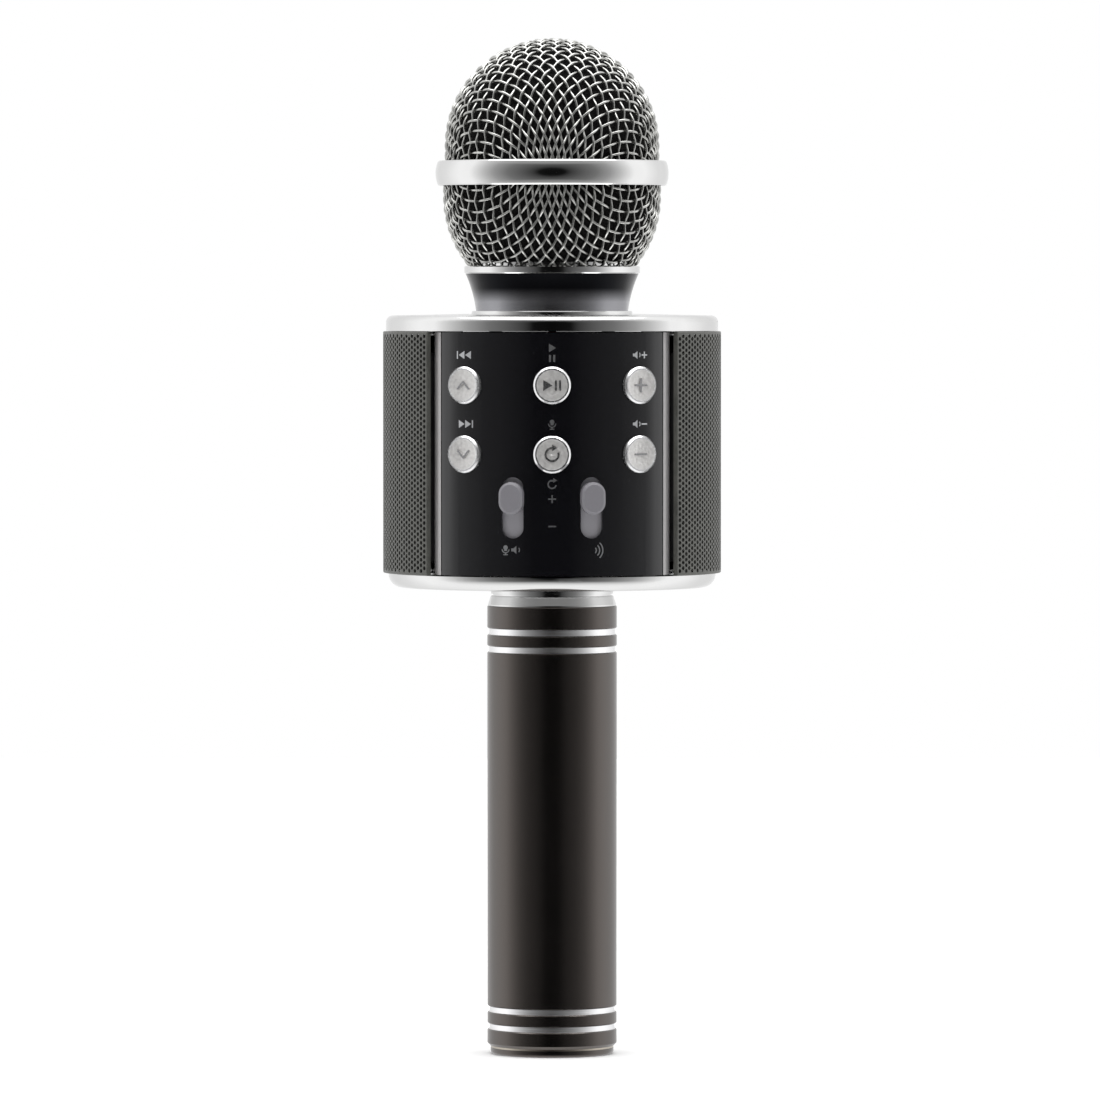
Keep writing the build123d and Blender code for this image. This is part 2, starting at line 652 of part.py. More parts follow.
def symbol(name, near, far):
    """The raised mark on a button's face."""
    arm, rise, width = 1.5, 0.8, 0.5
    if name in ("previous_button", "next_button"):
        up = rise if name == "previous_button" else -rise
        return [stroke((side * arm, -up), (0, up), width, near, far) for side in (-1, 1)]
    if name == "play_button":
        arrow = triangle([(-2.1, 1.3), (-2.1, -1.3), (0.1, 0)], near, far)
        return [arrow] + [stroke((x, 1.0), (x, -1.0), width, near, far) for x in (0.9, 1.9)]
    if name == "replay_button":
        wall = Plane.XZ * make_face(Polyline((1.3, near), (1.8, near), (1.8, far), (1.3, far), close=True))
        head = triangle([(0.0, 2.4), (0.0, 0.8), (1.3, 1.6)], near, far)
        return [Rot(0, 0, 90) * revolve(wall, Axis.Z, 290), head]
    marks = [stroke((-arm, 0), (arm, 0), width, near, far)]
    if name == "volume_up_button":
        marks.append(stroke((0, -arm), (0, arm), width, near, far))
    return marks


def button(name):
    """Bright cap with a dished face, a flange behind the panel and a stem into its switch."""
    bevel, rim, dish = 0.4, 0.75, 0.45
    flange_top, flange_low, stem_r, stem_tip = 37.4, 36.6, 1.7, 33.7
    face, face_r = BUTTON_TOP - dish, BUTTON_R - rim
    cap = turned(
        Polyline(
            (0, face), (0, stem_tip), (stem_r, stem_tip), (stem_r, flange_low),
            (BUTTON_FLANGE_R, flange_low), (BUTTON_FLANGE_R, flange_top), (BUTTON_R, flange_top),
            (BUTTON_R, BUTTON_TOP - bevel), (BUTTON_R - bevel, BUTTON_TOP), (face_r, BUTTON_TOP),
        ),
        crown(face_r, BUTTON_TOP, face),
    )
    for mark in symbol(name, face - 0.3, BUTTON_TOP - 0.12):
        cap += mark
    return facing(*BUTTONS[name]) * cap


def slider_knob(side):
    """Finger knob on a stem through the slot, a skirt that closes the slot, and a tongue into the fader."""
    azimuth, x, seat = side * SLIDER_AZIMUTH, side * FADER_X, facing(side * SLIDER_AZIMUTH, KNOB_Z)
    cap_low, stem_width, stem_height, bevel = PANEL_R + 0.3, SLOT_WIDTH - 0.8, KNOB_HEIGHT - 2.0, 0.6
    tongue_x, tongue_z, tongue_near, tongue_far = 0.65, 1.5, 32.6, 37.6
    knob = pill(seat, KNOB_WIDTH, KNOB_HEIGHT, cap_low, KNOB_TOP)
    knob = chamfer(knob.faces().sort_by(distance_from_axis)[-1].edges(), bevel)
    knob += pill(seat, stem_width, stem_height, SKIRT_FACE - 0.3, cap_low)
    low, high = KNOB_Z - SKIRT_HALF, KNOB_Z + SKIRT_HALF
    knob += sector(SKIRT_FACE, SKIRT_BACK, low, high, azimuth, SKIRT_HALF_ANGLE)
    low, high = KNOB_Z - tongue_z, KNOB_Z + tongue_z
    return knob + bar(x - tongue_x, x + tongue_x, -tongue_far, -tongue_near, low, high)


def slide_faders():
    """Two slide controls with an open channel for the knobs' tongues."""
    half_length, half_width, height, margin, channel_half, floor = 10.5, 3.1, 3.0, 2.0, 0.8, 0.7
    low, high = KNOB_Z - KNOB_DOWN - margin, KNOB_Z + KNOB_UP + margin
    faders = []
    for x in (-FADER_X, FADER_X):
        body = bar(
            x - half_width, x + half_width, -BOARD_FACE - height, -BOARD_FACE,
            SLOT_Z - half_length, SLOT_Z + half_length,
        )
        channel = bar(
            x - channel_half, x + channel_half, -BOARD_FACE - height - 1, -BOARD_FACE - floor, low, high
        )
        faders.append(body - channel)
    return faders


def key_switches():
    """Square key switches, each with an open bore for its button's stem."""
    side, bore, floor = 6.0, 1.9, 33.0
    switches = []
    for place in BUTTONS.values():
        seat = facing(*place)
        housing = block(seat, side, side, BOARD_FACE, SWITCH_TOP)
        switches.append(housing - post(seat, bore, floor, SWITCH_TOP + 1))
    return switches


def control_board():
    """Main board behind the panel, with its two chips on the back."""
    half_width, low, high, back, hole_r = 12.0, 121.0, 173.0, BOARD - BOARD_FACE, BOARD_SCREW_R + 0.1
    processor, amplifier = (-4, 4, 136, 144, 1.2), (5, 10, 150, 156, 1.0)
    board = bar(-half_width, half_width, -BOARD_FACE, back, low, high)
    for azimuth, height in BOARD_SCREWS[:2]:
        board -= post(facing(azimuth, height), hole_r, BOARD_FACE - 3, BOARD_FACE + 1)
    for x0, x1, z0, z1, thickness in (processor, amplifier):
        board += bar(x0, x1, back, back + thickness, z0, z1)
    return board


def key_boards():
    width, height, hole_r = 9.0, 27.0, BOARD_SCREW_R + 0.1
    boards = []
    for azimuth, middle in BOARD_SCREWS[2:]:
        seat = facing(azimuth, middle)
        board = block(seat, width, height, BOARD_FACE - KEY_BOARD, BOARD_FACE)
        boards.append(board - post(seat, hole_r, BOARD_FACE - 3, BOARD_FACE + 1))
    return boards


def board_screws():
    """Small screws that hold the boards on the front panel's bosses."""
    head_r, head_height, tip = 1.7, 1.1, 36.5
    screws = []
    for azimuth, height in BOARD_SCREWS:
        back = BOARD_FACE - (KEY_BOARD if azimuth else BOARD)
        seat = facing(azimuth, height)
        screws.append(post(seat, BOARD_SCREW_R, back, tip) + post(seat, head_r, back - head_height, back))
    return screws


# ---- Sockets on the back


def io_board():
    """Upright board that carries the sockets on one face and the power switch on the other."""
    front, step, edge, step_low, step_high = 14.0, 30.5, 37.0, 119.0, 172.0
    low, high = PLATE_LOW + PLATE + 0.5, PLATE_HIGH - PLATE - 0.5
    board = bar(IO_BOARD_X - IO_BOARD, IO_BOARD_X, front, step, low, high)
    return board + bar(IO_BOARD_X - IO_BOARD, IO_BOARD_X, step, edge, step_low, step_high)


def usb_socket():
    """Folded metal shell of a full-size socket, standing on edge."""
    half_w, half_h = USB_HALF_WIDTH, USB_HALF_HEIGHT
    mouth_w, mouth_h = half_w - USB_WALL, half_h - USB_WALL
    shell = bar(-half_w, half_w, USB_BACK, SOCKET_FACE, USB_Z - half_h, USB_Z + half_h)
    return shell - bar(
        -mouth_w, mouth_w, USB_BACK + USB_WALL, SOCKET_FACE + 1, USB_Z - mouth_h, USB_Z + mouth_h
    )


def usb_tongue():
    """Insulator at the back of the socket, with the tongue that carries the contacts."""
    half, base_half_height, base_near, base_far = 2.5, 6.2, 25.8, 28.5
    tongue_x, tongue_half_height, tongue_far = -0.6, 5.6, 37.6
    base = bar(-half, half, base_near, base_far, USB_Z - base_half_height, USB_Z + base_half_height)
    low, high = USB_Z - tongue_half_height, USB_Z + tongue_half_height
    return base + bar(-half, tongue_x, base_far, tongue_far, low, high)


def card_socket():
    back, recess, wall, end_wall = 24.0, 0.3, 0.3, 0.4
    x0, x1 = IO_BOARD_X, IO_BOARD_X + CARD_THICKNESS
    low, high = CARD_Z - CARD_HALF_HEIGHT, CARD_Z + CARD_HALF_HEIGHT
    body = bar(x0, x1, back, SOCKET_FACE - recess, low, high)
    return body - bar(x0 + wall, x1 - wall, back + 1, SOCKET_FACE + 1, low + end_wall, high - end_wall)


def charge_socket():
    """Small charging socket with its contact tongue."""
    x, half_w, half_h, wall, back = CHARGE_X, CHARGE_HALF_WIDTH, CHARGE_HALF_HEIGHT, 0.4, 33.0
    tongue_half, tongue_half_height, tongue_recess = 0.3, 2.2, 0.8
    mouth_w, mouth_h = half_w - wall, half_h - wall
    body = bar(x - half_w, x + half_w, back, SOCKET_FACE, CHARGE_Z - half_h, CHARGE_Z + half_h)
    body -= bar(x - mouth_w, x + mouth_w, back + 1, SOCKET_FACE + 1, CHARGE_Z - mouth_h, CHARGE_Z + mouth_h)
    return body + bar(
        x - tongue_half, x + tongue_half, back + 0.5, SOCKET_FACE - tongue_recess,
        CHARGE_Z - tongue_half_height, CHARGE_Z + tongue_half_height,
    )


def jack_socket():
    """Block with a round nose that reaches into the panel."""
    half, half_height, back, front, nose_low = -IO_BOARD_X, 3.0, 26.0, 38.0, 37.5
    seat = facing(180, JACK_Z)
    body = bar(-half, half, back, front, JACK_Z - half_height, JACK_Z + half_height)
    body += post(seat, JACK_NOSE_R, nose_low, SOCKET_FACE)
    return body - post(seat, JACK_BORE_R, SOCKET_FACE - JACK_DEPTH, SOCKET_FACE + 1)


def power_switch():
    """Housing of the slide switch, open towards the panel for its knob."""
    half, length, near, far, channel_half, floor, end_wall = 2.0, 9.4, 31.5, 36.2, 1.4, 1.2, 1.0
    low, high = POWER_Z - length / 2, POWER_Z + length / 2
    body = bar(SWITCH_X - half, IO_BOARD_X - IO_BOARD, near, far, low, high)
    x0, x1 = SWITCH_X - channel_half, SWITCH_X + channel_half
    return body - bar(x0, x1, near + floor, far + 1, low + end_wall, high - end_wall)


def power_knob():
    """Small ribbed slider, at its lower (off) end."""
    near, tip, groove, groove_half = 33.0, 40.3, 0.35, 0.2
    z, x0, x1 = POWER_Z - POWER_TRAVEL / 2, SWITCH_X - KNOB_HALF_WIDTH, SWITCH_X + KNOB_HALF_WIDTH
    knob = bar(x0, x1, near, tip, z - KNOB_HALF_HEIGHT, z + KNOB_HALF_HEIGHT)
    for step in (-1, 0, 1):
        middle = z + step
        knob -= bar(x0 - 1, x1 + 1, tip - groove, tip + 1, middle - groove_half, middle + groove_half)
    return knob


def status_lamp():
    """Light pipe with a collar behind the panel."""
    collar_r, back, collar_front, front = 2.0, 34.0, 36.9, 39.9
    seat = facing(180, LAMP_Z)
    pipe = post(seat, LAMP_R, collar_front - 0.9, front, -SWITCH_X)
    return pipe + post(seat, collar_r, back, collar_front, -SWITCH_X)


# ---- Neck and head


def neck():
    """Flared neck, open at the top for the capsule's cradle."""
    lead_bore, screw_floor = 5.0, NECK_FLOOR - 0.6
    body = turned(
        Polyline(
            (NECK_LIP_R, NECK_TOP), (NECK_BORE, NECK_TOP), (NECK_BORE, NECK_FLOOR), (lead_bore, NECK_FLOOR),
            (lead_bore, DRUM_TOP), (NECK_SPIGOT_R, DRUM_TOP), (NECK_SPIGOT_R, NECK_BOTTOM),
            (NECK_FOOT_R, NECK_BOTTOM),
        ),
        ThreePointArc((NECK_FOOT_R, NECK_BOTTOM), NECK_WAIST, (NECK_LIP_R, NECK_TOP)),
    )
    for x, y in NECK_SCREWS:
        body -= disc(SCREW_HOLE, DRUM_TOP - 1, screw_floor, x, y)
    return body


def neck_ring():
    bevel, bore = 0.2, NECK_SPIGOT_R + FIT
    return lathe(
        (bore, DRUM_TOP), (NECK_RING_R, DRUM_TOP), (NECK_RING_R, NECK_BOTTOM - bevel),
        (NECK_RING_R - bevel, NECK_BOTTOM), (bore, NECK_BOTTOM),
    )


def capsule_cradle():
    """Moulding in the neck's mouth: a cup for the capsule, and the thread that the wire ball screws on to."""
    outer, inner, low, high, lead_bore = NECK_BORE - 0.1, 13.2, NECK_FLOOR + FIT, 205.0, 6.0
    shoulder = NECK_TOP + FIT
    return lathe(
        (lead_bore, low), (outer, low), (outer, shoulder), (THREAD_R, shoulder), (THREAD_R, THREAD_TOP),
        (outer, THREAD_TOP), (outer, high), (inner, high), (inner, CAPSULE_SEAT), (lead_bore, CAPSULE_SEAT),
    )


def mic_capsule():
    outer, low, shoulder, high, stub_r = 13.1, CAPSULE_SEAT + 0.1, 205.5, 208.0, 3.0
    body = turned(
        Polyline((0, high), (0, low), (outer, low), (outer, shoulder)),
        crown(outer, shoulder, high),
    )
    return body + disc(stub_r, CAPSULE_STUB, low)


def capsule_lead():
    """From the capsule's stub down through the neck, then forwards to the control board."""
    end_z = 149.0
    points = [(0, 0, CAPSULE_STUB - 0.1), (0, 0, 170), (0, -4, 158), (0, -16, end_z), (0, LEAD_END_Y, end_z)]
    return lead(points, [20, 14, 14])


def head_collar():
    """Bright threaded ring at the foot of the wire ball."""
    bore, spigot_r, bevel = THREAD_R + RUNNING, COLLAR_SPIGOT_R, 0.25
    low, high = NECK_TOP + FIT, HEAD_COLLAR_TOP
    return lathe(
        (bore, low), (HEAD_COLLAR_R - bevel, low), (HEAD_COLLAR_R, low + bevel),
        (HEAD_COLLAR_R, high - bevel), (HEAD_COLLAR_R - bevel, high), (spigot_r, high),
        (spigot_r, THREAD_TOP + 0.5), (bore, THREAD_TOP + 0.5),
    )


def bowl_radius(z, inset):
    """Radius of the bowl's wall at a height, measured inset inside its outer face."""
    return BOWL_ARC_X + math.sqrt((BOWL_ARC - inset) ** 2 - (BOWL_ARC_Z - z) ** 2)


def bowl_arc(inset, low, upward):
    ends = [(bowl_radius(z, inset), z) for z in (low, (low + BOWL_ARC_Z) / 2, BOWL_ARC_Z)]
    return ThreePointArc(*(ends if upward else ends[::-1]))


def dome_arc(radius, outward):
    half = radius * math.sqrt(0.5)
    ends = [(0, DOME_CENTRE + radius), (half, DOME_CENTRE + half), (radius, DOME_CENTRE)]
    return ThreePointArc(*(ends if outward else ends[::-1]))


def grille_bowl():
    low, high, inner = HEAD_COLLAR_TOP + FIT, HEAD_SPLIT - 0.1, BOWL_R - WIRE_CLOTH
    return turned(
        bowl_arc(0, low, True),
        Polyline((BOWL_R, BOWL_ARC_Z), (BOWL_R, high), (inner, high), (inner, BOWL_ARC_Z)),
        bowl_arc(WIRE_CLOTH, low, False),
        Line((bowl_radius(low, WIRE_CLOTH), low), (bowl_radius(low, 0), low)),
    )


def grille_dome():
    low, inner = HEAD_SPLIT + 0.1, DOME_R - WIRE_CLOTH
    return turned(
        dome_arc(DOME_R, True),
        Polyline((DOME_R, DOME_CENTRE), (DOME_R, low), (inner, low), (inner, DOME_CENTRE)),
        dome_arc(inner, False),
        Line((0, DOME_CENTRE + inner), (0, DOME_CENTRE + DOME_R)),
    )


def grille_band():
    """Bright hoop with a bulging face that joins the two halves of the wire ball."""
    bevel, edge_r = 0.3, BAND_R - 0.5
    low, high = BAND_BOTTOM + bevel, BAND_TOP - bevel
    return turned(
        ThreePointArc((edge_r, low), (BAND_R, (low + high) / 2), (edge_r, high)),
        Polyline(
            (edge_r, high), (edge_r - bevel, BAND_TOP), (DOME_R + FIT, BAND_TOP), (DOME_R + FIT, HEAD_SPLIT),
            (BOWL_R + FIT, HEAD_SPLIT), (BOWL_R + FIT, BAND_BOTTOM), (edge_r - bevel, BAND_BOTTOM),
            (edge_r, low),
        ),
    )


def foam_liner():
    """Open-cell foam inside the wire ball, hollow over the capsule, with a skirt round the spigot."""
    inset, skirt_bore, skirt_low = WIRE_CLOTH + FOAM_GAP, COLLAR_SPIGOT_R + 0.25, HEAD_COLLAR_TOP + 0.9
    low, cavity_r, roof_r, outer = THREAD_TOP + 1, 17.6, 20.0, DOME_R - inset
    shoulder = DOME_CENTRE + math.sqrt(roof_r**2 - cavity_r**2)
    haunch = roof_r * math.sin(math.radians(30))
    return turned(
        bowl_arc(inset, skirt_low, True),
        Line((BOWL_R - inset, BOWL_ARC_Z), (outer, DOME_CENTRE)),
        dome_arc(outer, False),
        Line((0, DOME_CENTRE + outer), (0, DOME_CENTRE + roof_r)),
        ThreePointArc(
            (0, DOME_CENTRE + roof_r),
            (haunch, DOME_CENTRE + math.sqrt(roof_r**2 - haunch**2)),
            (cavity_r, shoulder),
        ),
        Polyline(
            (cavity_r, shoulder), (cavity_r, low + 5), (16.9, low), (skirt_bore, low),
            (skirt_bore, skirt_low), (bowl_radius(skirt_low, inset), skirt_low),
        ),
    )


def assembly():
    nodes = {
        "end_cap": end_cap(),
        "grip_tube": grip_tube(),
        "battery_tray": battery_tray(),
        "battery_cell": battery_cell(),
        "battery_tabs": battery_tabs(),
        "protection_board": protection_board(),
        "battery_lead": battery_lead(),
        "grip_collar": grip_collar(),
        "stem_nut": stem_nut(),
        "lower_cover": lower_cover(),
        "upper_cover": upper_cover(),
        "chassis": chassis(),
        "case_screws": case_screws(),
        "front_panel": front_panel(),
        "rear_panel": rear_panel(),
        "dust_cloths": dust_cloths(),
        "speaker_screws": speaker_screws(),
        "speaker_leads": speaker_leads(),
        "control_board": control_board(),
        "key_boards": key_boards(),
        "key_switches": key_switches(),
        "slide_faders": slide_faders(),
        "board_screws": board_screws(),
        "mic_volume_knob": slider_knob(-1),
        "echo_knob": slider_knob(1),
        "io_board": io_board(),
        "usb_socket": usb_socket(),
        "usb_tongue": usb_tongue(),
        "card_socket": card_socket(),
        "charge_socket": charge_socket(),
        "jack_socket": jack_socket(),
        "power_switch": power_switch(),
        "power_knob": power_knob(),
        "status_lamp": status_lamp(),
        "neck": neck(),
        "neck_ring": neck_ring(),
        "capsule_cradle": capsule_cradle(),
        "mic_capsule": mic_capsule(),
        "capsule_lead": capsule_lead(),
        "head_collar": head_collar(),
        "grille_bowl": grille_bowl(),
        "grille_band": grille_band(),
        "grille_dome": grille_dome(),
        "foam_liner": foam_liner(),
    }
    for side, azimuth in SIDES.items():
        seat = facing(azimuth, DRIVER_Z)
        nodes[f"side_grille_{side}"] = side_grille(azimuth)
        nodes[f"speaker_basket_{side}"] = seat * speaker_basket()
        nodes[f"speaker_magnet_{side}"] = seat * speaker_magnet()
        nodes[f"speaker_cone_{side}"] = seat * speaker_cone()
        nodes[f"speaker_surround_{side}"] = seat * speaker_surround()
    for name in BUTTONS:
        nodes[name] = button(name)
    return nodes


def main():
    os.makedirs("parts", exist_ok=True)
    for name, shape in assembly().items():
        solid = Compound(children=shape) if isinstance(shape, list) else shape
        export_step(solid, f"parts/{name}.step")


main()
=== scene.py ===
import json
import math

import bpy
import numpy as np
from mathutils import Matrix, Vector
from mathutils.geometry import tessellate_polygon


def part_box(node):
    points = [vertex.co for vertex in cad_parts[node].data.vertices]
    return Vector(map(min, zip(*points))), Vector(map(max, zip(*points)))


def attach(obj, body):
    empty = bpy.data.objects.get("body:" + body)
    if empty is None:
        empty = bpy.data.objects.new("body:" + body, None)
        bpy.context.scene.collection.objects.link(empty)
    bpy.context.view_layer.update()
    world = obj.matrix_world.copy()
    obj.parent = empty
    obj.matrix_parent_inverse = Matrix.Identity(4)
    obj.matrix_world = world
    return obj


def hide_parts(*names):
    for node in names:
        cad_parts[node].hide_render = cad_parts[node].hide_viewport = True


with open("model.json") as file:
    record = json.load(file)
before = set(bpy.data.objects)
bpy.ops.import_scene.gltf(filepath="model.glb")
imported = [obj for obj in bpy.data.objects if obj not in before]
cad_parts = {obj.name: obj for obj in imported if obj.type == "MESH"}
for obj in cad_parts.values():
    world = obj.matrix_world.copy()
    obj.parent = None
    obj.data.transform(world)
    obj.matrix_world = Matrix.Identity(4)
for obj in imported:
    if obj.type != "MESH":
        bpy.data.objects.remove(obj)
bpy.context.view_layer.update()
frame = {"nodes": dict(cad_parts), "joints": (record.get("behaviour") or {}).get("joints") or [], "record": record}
nodes = frame["nodes"]

# Everything is in metres, in the frame of the CAD model: +Z up, the control panel facing -Y.
MM = 0.001
TURN = 2 * math.pi


def low(node):
    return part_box(node)[0]


def high(node):
    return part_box(node)[1]


# ---- Meshes


def piece(name, body, points, faces, material, smooth_angle=None, replaced=()):
    """A new object from points and faces, riding on a body, smooth up to an edge angle in degrees."""
    mesh = bpy.data.meshes.new(name)
    mesh.from_pydata([tuple(point) for point in points], [], [tuple(face) for face in faces])
    mesh.validate()
    if smooth_angle:
        mesh.polygons.foreach_set("use_smooth", [True] * len(mesh.polygons))
        mesh.set_sharp_from_angle(angle=math.radians(smooth_angle))
    mesh.materials.append(material)
    thing = bpy.data.objects.new(name, mesh)
    bpy.context.scene.collection.objects.link(thing)
    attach(thing, body)
    if replaced:
        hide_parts(*replaced)
    return thing


def bake_modifier(thing):
    """Replaces the mesh by what its modifiers make of it."""
    made = bpy.data.meshes.new_from_object(thing.evaluated_get(bpy.context.evaluated_depsgraph_get()))
    thing.modifiers.clear()
    thing.data = made


def thicken(thing, thickness):
    """Gives a sheet its thickness, on the inner side of its faces."""
    modifier = thing.modifiers.new("thickness", "SOLIDIFY")
    modifier.thickness = thickness
    modifier.offset = -1.0
    bake_modifier(thing)
    thing.data.set_sharp_from_angle(angle=math.radians(40))
    return thing


def on_wall(radius, along, up):
    """A point on a cylinder about Z, from arc lengths measured from the front."""
    angle = along / radius
    return radius * math.sin(angle), -radius * math.cos(angle), up


# ---- Shaders


class Wiring:
    """Short calls that add nodes to a tree and link them."""

    def __init__(self, tree):
        self.tree = tree

    def add(self, kind, **settings):
        node = self.tree.nodes.new(kind)
        for key, value in settings.items():
            setattr(node, key, value)
        return node

    def feed(self, socket, value):
        if isinstance(value, bpy.types.NodeSocket):
            self.tree.links.new(value, socket)
        else:
            socket.default_value = value

    def node(self, kind, *values, **settings):
        """The first output of a new node whose inputs are fed in order."""
        node = self.add(kind, **settings)
        for socket, value in zip(node.inputs, values):
            self.feed(socket, value)
        return node.outputs[0]

    def maths(self, operation, *values):
        return self.node("ShaderNodeMath", *values, operation=operation)

    def between(self, value, start, end, first=0.0, last=1.0):
        """Maps value from start..end to first..last, clamped."""
        return self.node("ShaderNodeMapRange", value, start, end, first, last)


class Shader(Wiring):
    """A procedural material being wired: one principled shader and short calls for the shared nodes."""

    SOCKETS = {
        "color": "Base Color",
        "metallic": "Metallic",
        "rough": "Roughness",
        "normal": "Normal",
        "sheen": "Sheen Weight",
        "specular": "Specular IOR Level",
        "specular_tint": "Specular Tint",
        "transmission": "Transmission Weight",
        "ior": "IOR",
    }

    def __init__(self, name):
        self.material = bpy.data.materials.new(name)
        self.material.use_nodes = True
        super().__init__(self.material.node_tree)
        self.surface = self.tree.nodes["Principled BSDF"]
        self.place = self.add("ShaderNodeTexCoord").outputs["Object"]

    def set(self, **values):
        for key, value in values.items():
            self.feed(self.surface.inputs[self.SOCKETS[key]], value)

    def stretched(self, factors):
        node = self.add("ShaderNodeMapping")
        self.feed(node.inputs["Vector"], self.place)
        node.inputs["Scale"].default_value = factors
        return node.outputs[0]

    def noise(self, size, detail=3.0, stretch=None):
        node = self.add("ShaderNodeTexNoise")
        self.feed(node.inputs["Vector"], self.stretched(stretch) if stretch else self.place)
        node.inputs["Scale"].default_value = 1 / size
        node.inputs["Detail"].default_value = detail
        return node.outputs["Fac"]

    def cells(self, size, feature="F1"):
        node = self.add("ShaderNodeTexVoronoi", feature=feature)
        self.feed(node.inputs["Vector"], self.place)
        node.inputs["Scale"].default_value = 1 / size
        return node.outputs["Distance"]

    def blend(self, share, first, last):
        node = self.add("ShaderNodeMix", data_type="RGBA")
        self.feed(node.inputs["Factor"], share)
        self.feed(node.inputs[6], (*first, 1) if isinstance(first, tuple) else first)
        self.feed(node.inputs[7], (*last, 1) if isinstance(last, tuple) else last)
        return node.outputs[2]

    def bump(self, height, depth, before=None):
        node = self.add("ShaderNodeBump")
        node.inputs["Strength"].default_value = 1.0
        node.inputs["Distance"].default_value = depth
        self.feed(node.inputs["Height"], height)
        if before:
            self.feed(node.inputs["Normal"], before)
        return node.outputs["Normal"]

    def axes(self):
        node = self.add("ShaderNodeSeparateXYZ")
        self.feed(node.inputs[0], self.place)
        return node.outputs

    def from_axis(self):
        """Distance from the Z axis."""
        x, y, _ = self.axes()
        squares = self.maths("MULTIPLY", x, x), self.maths("MULTIPLY", y, y)
        return self.maths("SQRT", self.maths("ADD", *squares))


def speckled(name, dark, light, rough, grain, depth, metallic=0.0):
    """The common finish: two tones mixed by grain, a roughness range and a fine relief."""
    shader = Shader(name)
    fine, broad = shader.noise(grain, 4.0), shader.noise(grain * 30, 2.0)
    share = shader.between(shader.maths("MULTIPLY", fine, broad), 0.15, 0.35)
    shader.set(
        color=shader.blend(share, dark, light),
        rough=shader.between(broad, 0.35, 0.65, *rough),
        metallic=metallic,
        normal=shader.bump(fine, depth),
    )
    return shader.material


def chrome():
    """Plated trim: bright, with faint haze and hairline wiping marks round the body."""
    shader = Shader("chrome_trim")
    haze = shader.noise(9 * MM, 2.0)
    hair = shader.noise(0.9 * MM, 2.0, stretch=(0.15, 0.15, 9.0))
    shader.set(
        color=shader.blend(haze, (0.66, 0.66, 0.66), (0.74, 0.74, 0.735)),
        rough=shader.between(haze, 0.3, 0.7, 0.06, 0.12),
        metallic=1.0,
        normal=shader.bump(hair, 0.0012 * MM),
    )
    return shader.material


def anodised():
    """Black anodised aluminium, sand-blasted first, with the rings cut through it to bright metal."""
    # A surface between these depths under the skin belongs to a ring: past its lip, but not in the bore
    shallowest, deepest = 0.4 * MM, 1.4 * MM
    blend_width, end_margin, edge_half = 0.1 * MM, 1.0 * MM, 0.2 * MM
    shader = Shader("black_anodised")
    away, height = shader.from_axis(), shader.axes()[2]
    ring_outer, ring_inner = high("grip_tube").x - shallowest, high("grip_tube").x - deepest
    seam = low("grip_tube").z
    ring = shader.between(away, ring_outer, ring_outer + blend_width, 1.0, 0.0)
    ring = shader.maths("MULTIPLY", ring, shader.maths("GREATER_THAN", away, ring_inner))
    ring = shader.maths("MULTIPLY", ring, shader.maths("GREATER_THAN", height, seam + end_margin))
    edge = shader.maths("COMPARE", height, seam - edge_half, 1.05 * edge_half)
    cut = shader.maths("MAXIMUM", ring, edge)
    blast, patch = shader.noise(0.16 * MM, 3.0), shader.noise(14 * MM, 2.0)
    turning = shader.noise(0.5 * MM, 1.0, stretch=(0.02, 0.02, 4.0))
    satin = shader.between(patch, 0.3, 0.7, 0.17, 0.21)
    relief = shader.maths("MULTIPLY", blast, shader.maths("SUBTRACT", 1.0, cut))
    grooves = shader.maths("MULTIPLY", shader.maths("MULTIPLY", turning, ring), 16.0)
    relief = shader.maths("ADD", relief, grooves)
    black = shader.blend(patch, (0.0025, 0.0023, 0.0022), (0.0045, 0.0041, 0.0040))
    metal = shader.blend(edge, (0.90, 0.90, 0.91), (0.44, 0.40, 0.34))
    shader.set(
        color=shader.blend(cut, black, metal),
        metallic=cut,
        rough=shader.maths("ADD", satin, shader.maths("MULTIPLY", cut, 0.10)),
        ior=1.85,
        specular_tint=shader.blend(cut, (1.0, 0.88, 0.81), (1.0, 1.0, 1.0)),
        normal=shader.bump(relief, 0.003 * MM),
    )
    return shader.material


def gloss_panel():
    """Piano black moulding: deep gloss with a slight ripple and a little dust, and pale satin flanks."""
    flank_width = 1.6 * MM
    shader = Shader("gloss_panel")
    aside = shader.maths("ABSOLUTE", shader.axes()[0])
    edge = high("front_panel").x - flank_width
    flank = shader.between(aside, edge, edge + 0.1 * MM)
    ripple, dust = shader.noise(6 * MM, 1.0), shader.noise(0.35 * MM, 5.0)
    speck = shader.between(dust, 0.68, 0.74)
    gloss = shader.blend(speck, (0.004, 0.004, 0.005), (0.020, 0.020, 0.022))
    satin = shader.blend(dust, (0.34, 0.33, 0.33), (0.50, 0.49, 0.49))
    gloss_rough, satin_rough = shader.between(speck, 0, 1, 0.055, 0.30), shader.between(flank, 0, 1, 0, 0.4)
    shader.set(
        color=shader.blend(flank, gloss, satin),
        rough=shader.maths("MAXIMUM", gloss_rough, satin_rough),
        specular=0.5,
        normal=shader.bump(ripple, 0.002 * MM),
    )
    return shader.material


